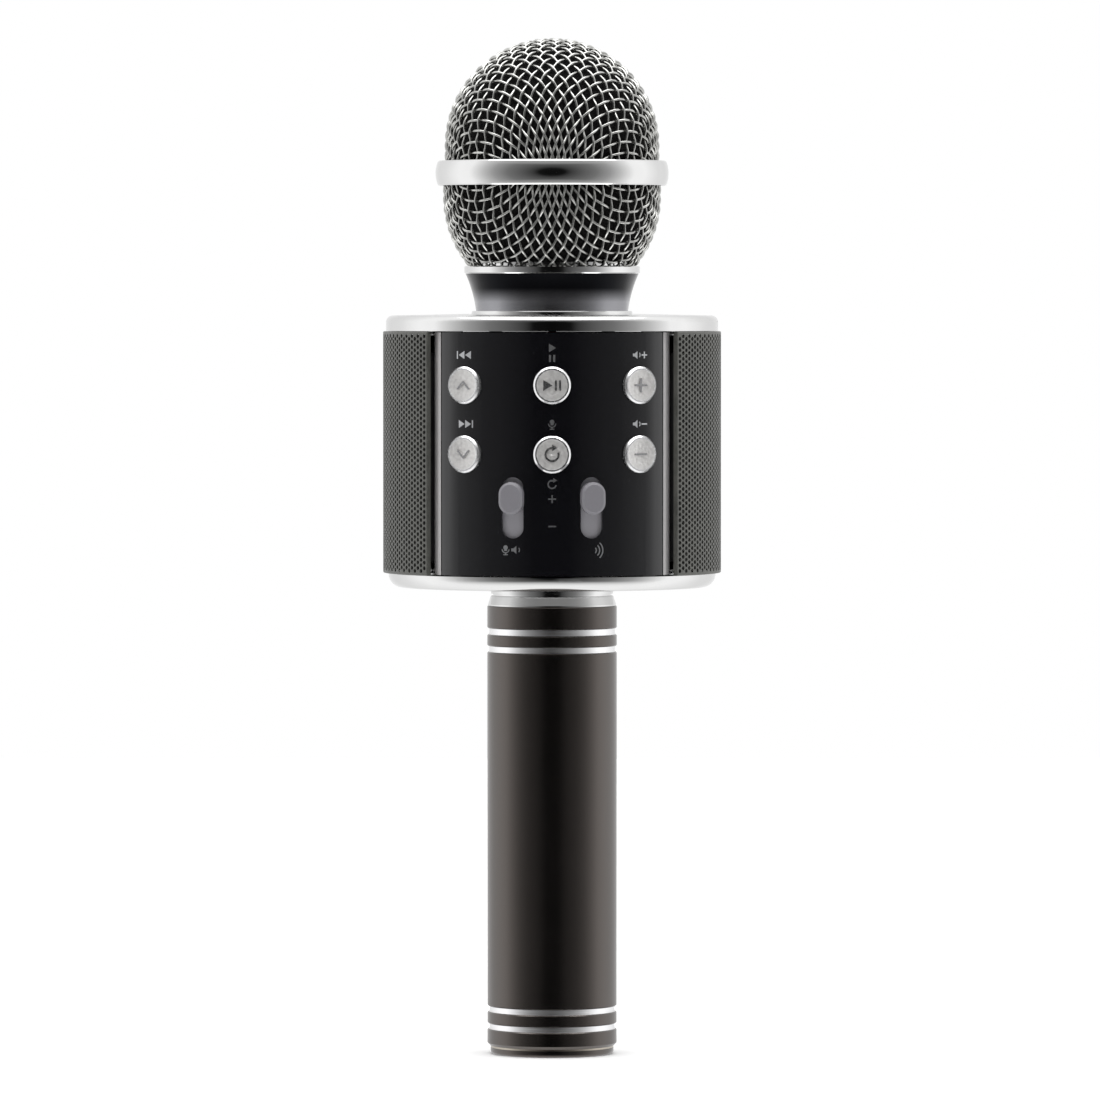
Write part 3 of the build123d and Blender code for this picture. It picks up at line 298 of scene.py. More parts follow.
def neck_lacquer():
    """Black metallic lacquer, paler and more reflective towards the foot: a painted highlight band there."""
    # Painted highlight: full along this length above the foot, then fading out over the next
    highlight_length, fade_length = 2.9 * MM, 3.4 * MM
    shader = Shader("neck_lacquer")
    flake, patch = shader.noise(0.08 * MM, 3.0), shader.noise(8 * MM, 2.0)
    start = low("neck").z + highlight_length
    fade = shader.between(shader.axes()[2], start, start + fade_length, 1.0, 0.0)
    painted_highlight = shader.maths("POWER", fade, 1.5)
    black = shader.blend(flake, (0.007, 0.0072, 0.0085), (0.014, 0.0145, 0.0170))
    shader.set(
        # Painted highlight: the colour turns from black to pale grey towards the foot
        color=shader.blend(painted_highlight, black, (0.33, 0.33, 0.35)),
        metallic=1.0,
        rough=shader.between(patch, 0.3, 0.7, 0.14, 0.20),
        normal=shader.bump(flake, 0.0015 * MM),
    )
    return shader.material


def steel_wire():
    """Drawn wire, bright with duller patches."""
    shader = Shader("steel_wire")
    drawn, tarnish = shader.noise(0.22 * MM, 3.0), shader.noise(2.4 * MM, 3.0)
    shader.set(
        color=shader.blend(shader.between(tarnish, 0.3, 0.7), (0.36, 0.36, 0.345), (0.60, 0.60, 0.58)),
        rough=shader.between(drawn, 0.3, 0.7, 0.20, 0.34),
        metallic=1.0,
        normal=shader.bump(drawn, 0.003 * MM),
    )
    return shader.material


def foam():
    """Open-cell foam: dark pores in paler strands."""
    shader = Shader("foam")
    pores = shader.cells(0.55 * MM)
    strands = shader.noise(0.3 * MM, 3.0)
    shader.set(
        color=shader.blend(pores, (0.002, 0.002, 0.002), (0.016, 0.015, 0.015)),
        rough=shader.between(strands, 0.3, 0.7, 0.85, 1.0),
        specular=0.1,
        normal=shader.bump(shader.maths("ADD", pores, strands), 0.25 * MM),
    )
    return shader.material


def cloth():
    """Acoustic cloth: a plain weave a third of a millimetre across."""
    shader = Shader("speaker_cloth")
    _, y, z = shader.axes()
    waves_per_metre = TURN / (0.34 * MM)
    weft = shader.maths("SINE", shader.maths("MULTIPLY", z, waves_per_metre))
    warp = shader.maths("SINE", shader.maths("MULTIPLY", y, waves_per_metre))
    weave = shader.maths("MULTIPLY", weft, warp)
    shader.set(
        color=shader.blend(shader.between(weave, -1, 1), (0.003, 0.003, 0.003), (0.018, 0.017, 0.016)),
        rough=shader.between(shader.noise(2 * MM), 0.3, 0.7, 0.8, 0.95),
        normal=shader.bump(weave, 0.05 * MM),
        sheen=0.2,
    )
    return shader.material


def button_silver(name):
    """Metallised cap: a polished rim, a pebbled dished face and a polished raised mark."""
    rim_start, rim_end, mark_reach, mark_within = 3.6 * MM, 3.75 * MM, 2.75 * MM, 0.17 * MM
    pebble_end, pebble_fade = 3.5 * MM, 1.1 * MM
    shader = Shader("metal_" + name)
    centre = (low(name) + high(name)) / 2
    press = next(joint["axis"] for joint in frame["joints"] if joint["child"] == name)
    x, y, z = shader.axes()

    def along(dx, dy):
        """Distance of the shaded point from the button's centre along a level direction."""
        east = shader.maths("MULTIPLY", shader.maths("SUBTRACT", x, centre.x), dx)
        return shader.maths("MULTIPLY_ADD", shader.maths("SUBTRACT", y, centre.y), dy, east)

    across, up = along(-press[1], press[0]), shader.maths("SUBTRACT", z, centre.z)
    up_squared = shader.maths("MULTIPLY", up, up)
    away = shader.maths("SQRT", shader.maths("MULTIPLY_ADD", across, across, up_squared))
    rim = shader.between(away, rim_start, rim_end)
    rim_height = -low("play_button").y - centre.xy.length
    proud = shader.maths("GREATER_THAN", along(-press[0], -press[1]), rim_height - mark_within)
    mark = shader.maths("MULTIPLY", proud, shader.maths("LESS_THAN", away, mark_reach))
    fine, cast = shader.noise(0.16 * MM, 3.0), shader.noise(0.75 * MM, 3.0)
    polished = shader.maths("MAXIMUM", rim, mark)
    dish = shader.between(away, pebble_end - pebble_fade, pebble_end, 1.0, 0.0)
    plain = shader.maths("MULTIPLY", shader.maths("SUBTRACT", 1.0, mark), dish)
    pebble = shader.maths("MULTIPLY", plain, cast)
    face = shader.blend(cast, (0.48, 0.47, 0.46), (0.84, 0.83, 0.82))
    shader.set(
        color=shader.blend(rim, shader.blend(mark, face, (0.42, 0.42, 0.43)), (0.80, 0.80, 0.81)),
        rough=shader.maths("MULTIPLY_ADD", polished, -0.20, shader.between(cast, 0.3, 0.7, 0.34, 0.50)),
        metallic=shader.between(polished, 0, 1, 0.60, 0.90),
        normal=shader.bump(pebble, 0.16 * MM, shader.bump(fine, 0.002 * MM)),
    )
    return shader.material


def knob_grey():
    """Grey moulding, paler on the skirt that shows through the slot than on the handled cap: painted light that
    offsets the shade of the slot's recess.
    """
    fade_below, fade_above = 0.8 * MM, 0.1 * MM
    shader = Shader("knob_grey")
    grain, broad = shader.noise(0.18 * MM, 4.0), shader.noise(5 * MM, 2.0)
    panel_r = high("rear_panel").y
    # Painted light: the skirt, down in the slot's recess, is made paler to offset its shade
    skirt = shader.between(shader.from_axis(), panel_r - fade_below, panel_r + fade_above, 1.0, 0.0)
    cap = shader.blend(grain, (0.146, 0.142, 0.157), (0.200, 0.195, 0.212))
    shader.set(
        color=shader.blend(skirt, cap, (0.27, 0.263, 0.285)),
        rough=shader.between(broad, 0.35, 0.65, 0.38, 0.48),
        normal=shader.bump(grain, 0.010 * MM),
    )
    return shader.material


def circuit_board():
    """Solder mask with copper tracks showing through it."""
    shader = Shader("board_green")
    tracks = shader.between(shader.cells(1.8 * MM, "DISTANCE_TO_EDGE"), 0.03, 0.06, 1.0, 0.0)
    shader.set(
        color=shader.blend(tracks, (0.010, 0.085, 0.038), (0.03, 0.16, 0.06)),
        rough=shader.between(shader.noise(1.5 * MM), 0.3, 0.7, 0.30, 0.42),
        normal=shader.bump(tracks, 0.03 * MM),
    )
    return shader.material


def lamp_lens():
    """Frosted clear plastic."""
    shader = Shader("lamp_lens")
    frost = shader.noise(0.2 * MM)
    shader.set(
        color=shader.blend(frost, (0.75, 0.82, 0.95), (0.9, 0.94, 1.0)),
        rough=shader.between(frost, 0.3, 0.7, 0.25, 0.4),
        transmission=0.6,
        normal=shader.bump(frost, 0.01 * MM),
    )
    return shader.material


def print_ink():
    """Silver ink of the pictograms."""
    shader = Shader("print_ink")
    grain = shader.noise(0.12 * MM)
    shader.set(
        color=shader.blend(grain, (0.60, 0.61, 0.63), (0.80, 0.81, 0.83)),
        rough=shader.between(grain, 0.3, 0.7, 0.32, 0.42),
        metallic=1.0,
        normal=shader.bump(grain, 0.004 * MM),
    )
    return shader.material


# Name: dark tone, light tone, roughness range, grain size, depth of relief, and how metallic
SPECKLED = {
    "grille_paint": ((0.053, 0.054, 0.048), (0.080, 0.081, 0.072), (0.34, 0.46), 0.14 * MM, 0.012 * MM, 0),
    "black_moulding": ((0.014, 0.014, 0.015), (0.026, 0.026, 0.027), (0.45, 0.6), 0.2 * MM, 0.02 * MM, 0),
    "zinc_steel": ((0.50, 0.50, 0.49), (0.68, 0.68, 0.66), (0.22, 0.36), 0.3 * MM, 0.006 * MM, 1),
    "magnet_ferrite": ((0.03, 0.03, 0.033), (0.07, 0.07, 0.075), (0.5, 0.7), 0.25 * MM, 0.02 * MM, 0),
    "paper_cone": ((0.012, 0.012, 0.011), (0.032, 0.030, 0.028), (0.75, 0.9), 0.4 * MM, 0.05 * MM, 0),
    "rubber_black": ((0.010, 0.010, 0.010), (0.022, 0.022, 0.022), (0.55, 0.7), 0.3 * MM, 0.015 * MM, 0),
    "cell_wrap": ((0.02, 0.10, 0.34), (0.03, 0.14, 0.42), (0.18, 0.28), 0.5 * MM, 0.004 * MM, 0),
    "lead_jacket": ((0.26, 0.012, 0.012), (0.36, 0.02, 0.02), (0.35, 0.5), 0.3 * MM, 0.008 * MM, 0),
    "capsule_metal": ((0.50, 0.50, 0.50), (0.66, 0.66, 0.66), (0.25, 0.38), 0.3 * MM, 0.006 * MM, 1),
}
FINISHES = {
    "chrome_trim": chrome(),
    "black_anodised": anodised(),
    "gloss_panel": gloss_panel(),
    "neck_lacquer": neck_lacquer(),
    "steel_wire": steel_wire(),
    "foam": foam(),
    "speaker_cloth": cloth(),
    "board_green": circuit_board(),
    "lamp_lens": lamp_lens(),
    "knob_grey": knob_grey(),
}
FINISHES.update({name: speckled(name, *finish) for name, finish in SPECKLED.items()})


def finish_cad_nodes():
    """Gives every carried-over CAD node the finish of its slot."""
    slot_of = {part["node"]: part["material_slot"] for part in frame["record"]["subparts"]}
    for name, thing in nodes.items():
        slot = slot_of[name]
        material = button_silver(name) if slot == "button_silver" else FINISHES[slot]
        thing.data.materials.clear()
        thing.data.materials.append(material)


# ---- Wire ball

# A wire's radius and its swing in and out, the cell of the weave, the points drawn per cell, the sides
# drawn round a wire, and the height of the bowl's middle over its foot
WIRE_R = 0.30 * MM
CRIMP = 0.30 * MM
CELL = 2.62 * MM
STEPS = 6
WIRE_SIDES = 8
BOWL_DEPTH = 16.6 * MM


def cap_point(guess, first, second, cell, radius):
    """The point of the capped cylinder one cell away from two others, by Newton's method from a guess."""
    point = np.array(guess, float)
    for _ in range(12):
        upper = np.array([point[0], point[1], max(point[2], 0.0)])
        miss = np.array([
            (point - first) @ (point - first) - cell**2,
            (point - second) @ (point - second) - cell**2,
            upper @ upper - radius**2,
        ])
        slope = 2 * np.array([point - first, point - second, upper])
        point = point - np.linalg.lstsq(slope, miss, rcond=None)[0]
    return point


def woven_cap(radius, cell, reach):
    """Crossings of a square cloth drawn over a capped cylinder, keyed by thread numbers. Pole up."""
    turn = 2 * math.asin(cell / 2 / radius)
    flat = math.pi / 2 / turn
    quarter = {}
    count = int(math.ceil(flat + reach / cell)) + 2
    for k in range(count):
        angle = min(k * turn, math.pi / 2)
        drop = max(k - flat, 0) * cell
        out, up = radius * math.sin(angle), radius * math.cos(angle) - drop
        quarter[k, 0] = np.array([out, 0.0, up])
        quarter[0, k] = np.array([0.0, out, up])
    for i in range(1, count):
        for j in range(1, count):
            first, second = quarter.get((i - 1, j)), quarter.get((i, j - 1))
            third = quarter.get((i - 1, j - 1))
            if first is None or second is None or min(first[2], second[2]) < -reach:
                continue
            point = cap_point(first + second - third, first, second, cell, radius)
            if np.isfinite(point).all():
                quarter[i, j] = point
    whole = {}
    for (i, j), point in quarter.items():
        for mirror_x in (1, -1):
            for mirror_y in (1, -1):
                whole[i * mirror_x, j * mirror_y] = point * (mirror_x, mirror_y, 1)
    return whole


def cap_normal(points):
    """Outward directions of the capped cylinder at points on it."""
    upper = points * (1, 1, 0)
    upper[:, 2] = np.maximum(points[:, 2], 0)
    return upper / np.linalg.norm(upper, axis=1)[:, None]


def smooth_run(knots, steps):
    """Points along a smooth curve through the knots, with the knot number of each."""
    padded = np.vstack([2 * knots[0] - knots[1], knots, 2 * knots[-1] - knots[-2]])
    along = np.arange(0, (len(knots) - 1) * steps + 1) / steps
    k = np.minimum(along.astype(int), len(knots) - 2)
    t = (along - k)[:, None]
    a, b, c, d = padded[k], padded[k + 1], padded[k + 2], padded[k + 3]
    curve = 2 * b + (c - a) * t + (2 * a - 5 * b + 4 * c - d) * t**2 + (3 * b - a - 3 * c + d) * t**3
    return curve / 2, along


def wire_tube(path, normals, radius, sides):
    """Points and faces of a closed round wire along a path."""
    heading = np.gradient(path, axis=0)
    heading /= np.linalg.norm(heading, axis=1)[:, None]
    across = np.cross(heading, normals)
    across /= np.linalg.norm(across, axis=1)[:, None]
    outward = np.cross(across, heading)
    angles = (np.arange(sides) * TURN / sides)[None, :, None]
    ring = np.cos(angles) * outward[:, None] + np.sin(angles) * across[:, None]
    points = (path[:, None] + radius * ring).reshape(-1, 3)
    base = np.arange(len(path) - 1)[:, None] * sides
    this, after = np.arange(sides)[None], (np.arange(sides)[None] + 1) % sides
    corners = [base + this, base + after, base + sides + after, base + sides + this]
    faces = np.stack(corners, -1).reshape(-1, 4)
    last = (len(path) - 1) * sides
    ends = [tuple(range(sides - 1, -1, -1)), tuple(last + k for k in range(sides))]
    return points, [tuple(face) for face in faces.tolist()] + ends


def kept_runs(keep):
    """The (start, end) of each unbroken stretch that is kept and has more than two points."""
    edges = np.flatnonzero(np.diff(np.concatenate([[0], keep.astype(int), [0]])))
    return [(a, b) for a, b in zip(edges[::2], edges[1::2]) if b - a > 2]


def threads_of(crossings):
    """The crossings along each wire, keyed by its family and number."""
    threads = {}
    for (i, j), point in crossings.items():
        threads.setdefault(("warp", i), {})[j] = point
        threads.setdefault(("weft", j), {})[i] = point
    return sorted(threads.items())


def woven_wire(name, outer, place, keeps, reach, node):
    """Both sets of wires of one half of the ball.

    place carries the cap's points into the frame, and keeps says which of them stay.
    """
    radius = outer - WIRE_R - CRIMP
    points, faces = [], []
    for (family, number), run in threads_of(woven_cap(radius, CELL, reach)):
        order = sorted(run)
        if len(order) < 3 or order[-1] - order[0] + 1 != len(order):
            continue
        path, along = smooth_run(np.array([run[k] for k in order]), STEPS)
        normals = cap_normal(path)
        phase = (along + order[0] + number) * math.pi
        side = 1 if family == "warp" else -1
        path = path + normals * (side * CRIMP * np.cos(phase))[:, None]
        path, normals = place(path), place(normals) - place(np.zeros((1, 3)))
        for start, end in kept_runs(keeps(path)):
            tube_points, tube_faces = wire_tube(path[start:end], normals[start:end], WIRE_R, WIRE_SIDES)
            offset = len(points)
            points.extend(tube_points)
            faces.extend(tuple(k + offset for k in face) for face in tube_faces)
    made = piece(name, "ball_head", points, faces, FINISHES["steel_wire"], 60, [node])


def wire_ball():
    """The two drawn halves of the ball. Their threads run at 45 degrees to the front."""
    half = math.sqrt(0.5)
    quarter_turn = np.array([[half, half, 0], [-half, half, 0], [0, 0, 1]])
    dome_r, bowl_r = high("grille_dome").x, high("grille_bowl").x
    dome_centre = high("grille_dome").z - dome_r
    bowl_foot = low("grille_bowl").z
    bowl_centre = bowl_foot + BOWL_DEPTH
    band_low, band_high = low("grille_band").z, high("grille_band").z
    band_middle, seam, below_foot = (band_low + band_high) / 2, 0.4 * MM, 0.6 * MM
    woven_wire(
        "woven_dome", dome_r,
        lambda p: p @ quarter_turn + (0, 0, dome_centre),
        lambda p: p[:, 2] > band_middle + seam,
        dome_centre - band_low, "grille_dome",
    )
    woven_wire(
        "woven_bowl", bowl_r,
        lambda p: p @ quarter_turn * (1, 1, -1) + (0, 0, bowl_centre),
        lambda p: (p[:, 2] < band_middle - seam) & (p[:, 2] > bowl_foot - below_foot),
        band_high - bowl_centre, "grille_bowl",
    )


def lathe(outline, segments):
    """Points and faces of a closed outline of (r, z) turned about Z. Points on the axis become one point."""
    points, rings = [], []
    angles = [TURN * k / segments for k in range(segments)]
    for r, z in outline:
        if r < 1e-9:
            rings.append([len(points)] * segments)
            points.append((0, 0, z))
        else:
            rings.append(list(range(len(points), len(points) + segments)))
            points += [(r * math.cos(angle), r * math.sin(angle), z) for angle in angles]
    faces = []
    for near, far in zip(rings, rings[1:] + rings[:1]):
        for k in range(segments):
            after = (k + 1) % segments
            corners = [near[k], near[after], far[after], far[k]]
            face = [c for n, c in enumerate(corners) if c not in corners[:n]]
            if len(face) > 2:
                faces.append(face)
    return points, faces


def foam_ball():
    """Foam lining: the space of its CAD solid less a little slack, with an open, slightly lumpy skin."""
    slack, dome_inset, waist_height, bowl_arc_r = 0.2 * MM, 0.4 * MM, 16.7 * MM, 28.6 * MM
    skirt_bore, floor_bore, wall_bore, wall_rise = 18.65 * MM, 16.9 * MM, 17.6 * MM, 5 * MM
    roof, roof_start, floor_gap, lumps = 20.0 * MM, 0.495, 0.5 * MM, 0.008
    quarter = math.pi / 2
    top, bottom, wide = high("foam_liner").z, low("foam_liner").z, high("foam_liner").x - slack
    dome_r = wide - dome_inset
    centre, waist = top - dome_r, bottom + waist_height
    inner_floor = high("head_collar").z + floor_gap
    outline = [(dome_r * math.sin(a), centre + dome_r * math.cos(a)) for a in np.linspace(0, quarter, 32)]
    bowl_end = math.asin((waist - bottom) / bowl_arc_r)
    outline += [
        (wide - bowl_arc_r * (1 - math.cos(a)), waist - bowl_arc_r * math.sin(a))
        for a in np.linspace(0, bowl_end, 20)
    ]
    outline += [(skirt_bore, bottom), (skirt_bore, inner_floor), (floor_bore, inner_floor)]
    outline += [(wall_bore, inner_floor + wall_rise)]
    outline += [
        (roof * math.cos(a), centre + roof * math.sin(a)) for a in np.linspace(roof_start, quarter, 10)
    ]
    points, faces = lathe(outline, 128)
    random = np.random.default_rng(7)
    points = np.array(points) * (1 - lumps * random.random((len(points), 1)) * [1, 1, 0])
    made = piece("foam_ball", "head_lining", points, faces, FINISHES["foam"], 80, ["foam_liner"])


def threaded_cradle():
    """The capsule's cradle with the screw thread cut in its rim: one turn of the head lifts it one pitch."""
    lowest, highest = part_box("capsule_cradle")
    crest, outer, inner, bore = highest.x, 15.3 * MM, 13.2 * MM, 6.0 * MM
    depth, pitch, run_out, seat_height = 0.45 * MM, 1.0 * MM, 0.5 * MM, 1.4 * MM
    seat = low("mic_capsule").z + seat_height
    first, last = high("neck").z + 0.05 * MM, high("neck").z + 5.0 * MM
    rows = 60
    outline = [(bore, lowest.z), (outer, lowest.z), (outer, first)]
    outline += [(crest, first + (last - first) * k / rows) for k in range(rows + 1)]
    outline += [(outer, last), (outer, highest.z), (inner, highest.z), (inner, seat), (bore, seat)]
    points, faces = lathe(outline, 120)
    cut = []
    for x, y, z in points:
        r = math.hypot(x, y)
        if r > crest - 1e-7:
            turn = (z / pitch - math.atan2(y, x) / TURN) % 1.0
            ends = min(1.0, (z - first) / run_out, (last - z) / run_out)
            groove = depth * max(0.0, 1.15 - 3.0 * abs(turn - 0.5)) * ends
            shrink = 1 - min(groove, depth) / r
            x, y = x * shrink, y * shrink
        cut.append((x, y, z))
    made = piece("threaded_cradle", "case", cut, faces, FINISHES["black_moulding"], 35, ["capsule_cradle"])


# ---- Perforated side grilles

HOLE_PITCH = 1.366 * MM
COLUMN_PITCH = 1.21 * MM
HOLE_R = 0.50 * MM
HOLE_SIDES = 12
GRILLE_SHEET = 0.28 * MM


def perforated_sheet(width, height):
    """Flat punched sheet in (u, v), staggered round holes in columns, and its border in order."""
    columns, rows = round(width / COLUMN_PITCH), round(height / HOLE_PITCH - 0.5)
    column_pitch, half_pitch = width / columns, height / (2 * rows + 1)
    u0, v0 = -width / 2, -height / 2
    points, faces, index = [], [], {}

    def corner(column, half_row):
        """Shared point of the grid of half rows."""
        key = (round(column * 2), round(half_row))
        if key not in index:
            index[key] = len(points)
            points.append((u0 + column * column_pitch, v0 + half_row * half_pitch))
        return index[key]

    for column in range(columns):
        shift = column % 2
        for row in range(rows):
            base = 2 * row + shift
            cu, cv = u0 + (column + 0.5) * column_pitch, v0 + (base + 1) * half_pitch
            first = len(points)
            angles = [TURN * k / HOLE_SIDES for k in range(HOLE_SIDES)]
            points.extend((cu + HOLE_R * math.cos(angle), cv + HOLE_R * math.sin(angle)) for angle in angles)
            outer = [
                corner(column + 1, base + 1), corner(column + 1, base + 2), corner(column + 0.5, base + 2),
                corner(column, base + 2), corner(column, base + 1), corner(column, base),
                corner(column + 0.5, base), corner(column + 1, base),
            ]
            for quarter in range(4):
                side, edge = outer[2 * quarter], outer[2 * quarter + 1]
                after = outer[(2 * quarter + 2) % 8]
                hole = [first + (HOLE_SIDES // 4 * quarter + k) % HOLE_SIDES for k in range(4)]
                faces += [(side, edge, hole[1], hole[0]), (edge, hole[2], hole[1])]
                faces += [(edge, after, hole[3], hole[2])]
        gap = 0 if shift else 2 * rows
        ring = [(column, gap), (column + 0.5, gap), (column + 1, gap), (column + 1, gap + 1)]
        ring += [(column + 0.5, gap + 1), (column, gap + 1)]
        faces.append(tuple(corner(*place) for place in ring))
    bottom = [corner(k / 2, 0) for k in range(2 * columns)]
    right = [corner(columns, k) for k in range(2 * rows + 1)]
    upper = [corner(k / 2, 2 * rows + 1) for k in range(2 * columns, 0, -1)]
    left = [corner(0, k) for k in range(2 * rows + 1, 0, -1)]
    return points, faces, bottom + right + upper + left


def folded_edge(points, faces, border, width, height, fold, return_depth):
    """Adds the rounded fold and the return round a flat sheet, by rings that follow its border."""
    half_u, half_v = abs(points[border[0]][0]), abs(points[border[0]][1])
    profile = [(0.0, 0.0)]
    profile += [(fold * math.sin(a), fold * (1 - math.cos(a))) for a in np.linspace(0.4, math.pi / 2, 4)]
    profile += [(fold, return_depth)]
    edge_u, edge_v = width / 2 - fold, height / 2 - fold
    previous, count = border, len(border)
    for reach, depth in profile:
        ring = []
        for k in border:
            u, v, _ = points[k]
            ring.append(len(points))
            points.append((
                math.copysign(edge_u + reach, u) if abs(u) > half_u - 1e-7 else u,
                math.copysign(edge_v + reach, v) if abs(v) > half_v - 1e-7 else v,
                depth,
            ))
        for k in range(count):
            after = (k + 1) % count
            faces.append((previous[after], previous[k], ring[k], ring[after]))
        previous = ring


def side_grille(side):
    """Punched and folded grille, bent round the drum, standing for its plain CAD tray."""
    fold, margin, return_depth = 0.30 * MM, 0.42 * MM, 1.2 * MM
    node = f"side_grille_{side}"
    lowest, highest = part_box(node)
    radius = max(abs(lowest.x), highest.x)
    half = math.asin(highest.y / radius)
    width, height = 2 * half * radius, highest.z - lowest.z
    flat, faces, border = perforated_sheet(width - 2 * margin, height - 2 * margin)
    points = [(u, v, 0.0) for u, v in flat]
    folded_edge(points, faces, border, width, height, fold, return_depth)
    middle = math.copysign(math.pi / 2, -1 if side == "left" else 1)
    middle_z = (lowest.z + highest.z) / 2
    bent = []
    for u, v, depth in points:
        angle = middle + u / radius
        r = radius - depth
        bent.append((r * math.sin(angle), -r * math.cos(angle), middle_z + v))
    made = piece(f"punched_grille_{side}", "case", bent, faces, FINISHES["grille_paint"], 40, [node])
    thicken(made, GRILLE_SHEET)


def dust_cloths():
    """Black cloth stretched behind each grille."""
    lowest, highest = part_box("dust_cloths")
    half_thickness = 0.15 * MM
    radius = highest.x - half_thickness
    half = math.asin(highest.y / highest.x)
    columns, rows = 60, 40
    for side, middle in (("left", -math.pi / 2), ("right", math.pi / 2)):
        points, faces = [], []
        for row in range(rows + 1):
            for column in range(columns + 1):
                angle = middle + half * (2 * column / columns - 1)
                z = lowest.z + (highest.z - lowest.z) * row / rows
                points.append((radius * math.sin(angle), -radius * math.cos(angle), z))
        wide = columns + 1
        for row in range(rows):
            for column in range(columns):
                k = row * wide + column
                faces.append((k, k + 1, k + wide + 1, k + wide))
        made = piece(f"cloth_{side}", "case", points, faces, FINISHES["speaker_cloth"], 60, ["dust_cloths"])


# ---- Printed pictograms, as flat shapes in millimetres about their own centre

STROKE = 0.34
THIN = 0.24


def bar_shape(x0, y0, x1, y1, width=STROKE):
    length = math.hypot(x1 - x0, y1 - y0)
    nx, ny = -(y1 - y0) / length * width / 2, (x1 - x0) / length * width / 2
    return [(x0 + nx, y0 + ny), (x0 - nx, y0 - ny), (x1 - nx, y1 - ny), (x1 + nx, y1 + ny)]


def arc_shape(x, y, radius, width, start, end, steps=14):
    """A band along an arc between two angles in degrees."""
    angles = [math.radians(start + (end - start) * k / steps) for k in range(steps + 1)]
    rims = [
        [(x + r * math.cos(a), y + r * math.sin(a)) for a in angles]
        for r in (radius + width / 2, radius - width / 2)
    ]
    return rims[0] + rims[1][::-1]


def disc_shape(x, y, radius, steps=20):
    angles = [math.radians(360 * k / steps) for k in range(steps + 1)]
    return [(x + radius * math.cos(a), y + radius * math.sin(a)) for a in angles]


def arrow_shape(x, y, size, way=1):
    """A triangle that points right, or left when way is -1."""
    back = x - way * size / 2
    return [(back, y + size * 0.6), (back, y - size * 0.6), (x + way * size / 2, y)]


def moved(shapes, dx):
    return [[(x + dx, y) for x, y in shape] for shape in shapes]


def skip_mark(way):
    arrows = [arrow_shape(x, 0, 1.6, way) for x in (-way * 0.9, way * 0.9)]
    return arrows + [bar_shape(way * 2.1, -0.9, way * 2.1, 0.9)]


def pause_mark():
    return [bar_shape(x, -0.85, x, 0.85, 0.5) for x in (-0.5, 0.5)]


def microphone_mark():
    head, body = disc_shape(0, 0.55, 0.56), bar_shape(0, 0.1, 0, -0.25, 0.75)
    cradle = arc_shape(0, 0.15, 0.85, THIN, 180, 360)
    return [head, body, cradle, bar_shape(0, -0.7, 0, -1.1, THIN), bar_shape(-0.55, -1.15, 0.55, -1.15, THIN)]


def replay_mark():
    return [arc_shape(0, 0, 0.95, STROKE, 60, 350, 22), arrow_shape(0.75, 0.95, 0.95)]


def loudspeaker_mark():
    horn = [(-0.9, 0.35), (-0.9, -0.35), (-0.35, -0.35), (0.35, -0.95), (0.35, 0.95), (-0.35, 0.35)]
    return [horn, arc_shape(0.35, 0, 0.75, THIN, -42, 42, 8)]


def minus_mark(size):
    return [bar_shape(-size, 0, size, 0)]


def plus_mark(size):
    return minus_mark(size) + [bar_shape(0, STROKE / 2, 0, size), bar_shape(0, -size, 0, -STROKE / 2)]


def echo_mark():
    return [arc_shape(-1.3, 0, r, 0.28, -48, 48, 10) for r in (0.8, 1.6, 2.4)]


def headphones_mark():
    pads = [bar_shape(x, -0.75, x, 0.05, 0.55) for x in (-0.95, 0.95)]
    return [arc_shape(0, 0, 1.0, THIN, 0, 180, 16)] + pads


def card_mark():
    return [
        bar_shape(-0.8, -1.1, -0.8, 1.1, THIN), bar_shape(-0.68, -0.98, 0.68, -0.98, THIN),
        bar_shape(0.8, -1.1, 0.8, 0.5, THIN), bar_shape(-0.68, 0.98, 0.2, 0.98, THIN),
        bar_shape(0.2, 1.05, 0.85, 0.4, THIN),
    ]


def stick_mark():
    plug = [bar_shape(-1.6, y, 0.6, y, THIN) for y in (-0.75, 0.75)]
    return plug + [bar_shape(-1.6, -0.75, -1.6, 0.75, THIN), bar_shape(0.6, 0, 1.7, 0, 1.1)]


def charge_mark():
    return [[(0.3, 1.3), (-0.75, -0.2), (-0.05, -0.2), (-0.3, -1.3), (0.75, 0.2), (0.05, 0.2)]]


def on_mark():
    return [bar_shape(0, -0.7, 0, 0.7, 0.3)]


def off_mark():
    return [arc_shape(0, 0, 0.6, 0.3, start, start + 180) for start in (0, 180)]


def middle_height(node):
    return (low(node).z + high(node).z) / 2


def control_marks():
    """The pictograms of the control panel, each as (azimuth in degrees, height, shapes)."""
    previous = (low("previous_button") + high("previous_button")) / 2
    side = math.degrees(math.atan2(-previous.x, -previous.y))
    upper, lower, knobs = previous.z, middle_height("next_button"), middle_height("echo_knob")
    above, play_above, pause_above, replay_below = 7.2 * MM, 8.9 * MM, 6.4 * MM, 7.1 * MM
    plus_below, minus_below = 0.2 * MM, 6.7 * MM
    louder = moved(loudspeaker_mark(), -0.9) + moved(plus_mark(0.8), 1.4)
    quieter = moved(loudspeaker_mark(), -0.9) + moved(minus_mark(0.8), 1.4)
    voice = moved(microphone_mark(), -1.1) + moved(loudspeaker_mark(), 1.2)
    return [
        (-side, upper + above, skip_mark(-1)),
        (-side, lower + above, skip_mark(1)),
        (0.0, upper + play_above, [arrow_shape(0.1, 0, 1.7)]),
        (0.0, upper + pause_above, pause_mark()),
        (0.0, lower + above, microphone_mark()),
        (0.0, lower - replay_below, replay_mark()),
        (side, upper + above, louder),
        (side, lower + above, quieter),
        (0.0, knobs - plus_below, plus_mark(0.95)),
        (0.0, knobs - minus_below, minus_mark(0.95)),
        (-14.5, knobs - 12.3 * MM, voice),
        (16.0, knobs - 12.4 * MM, echo_mark()),
    ]


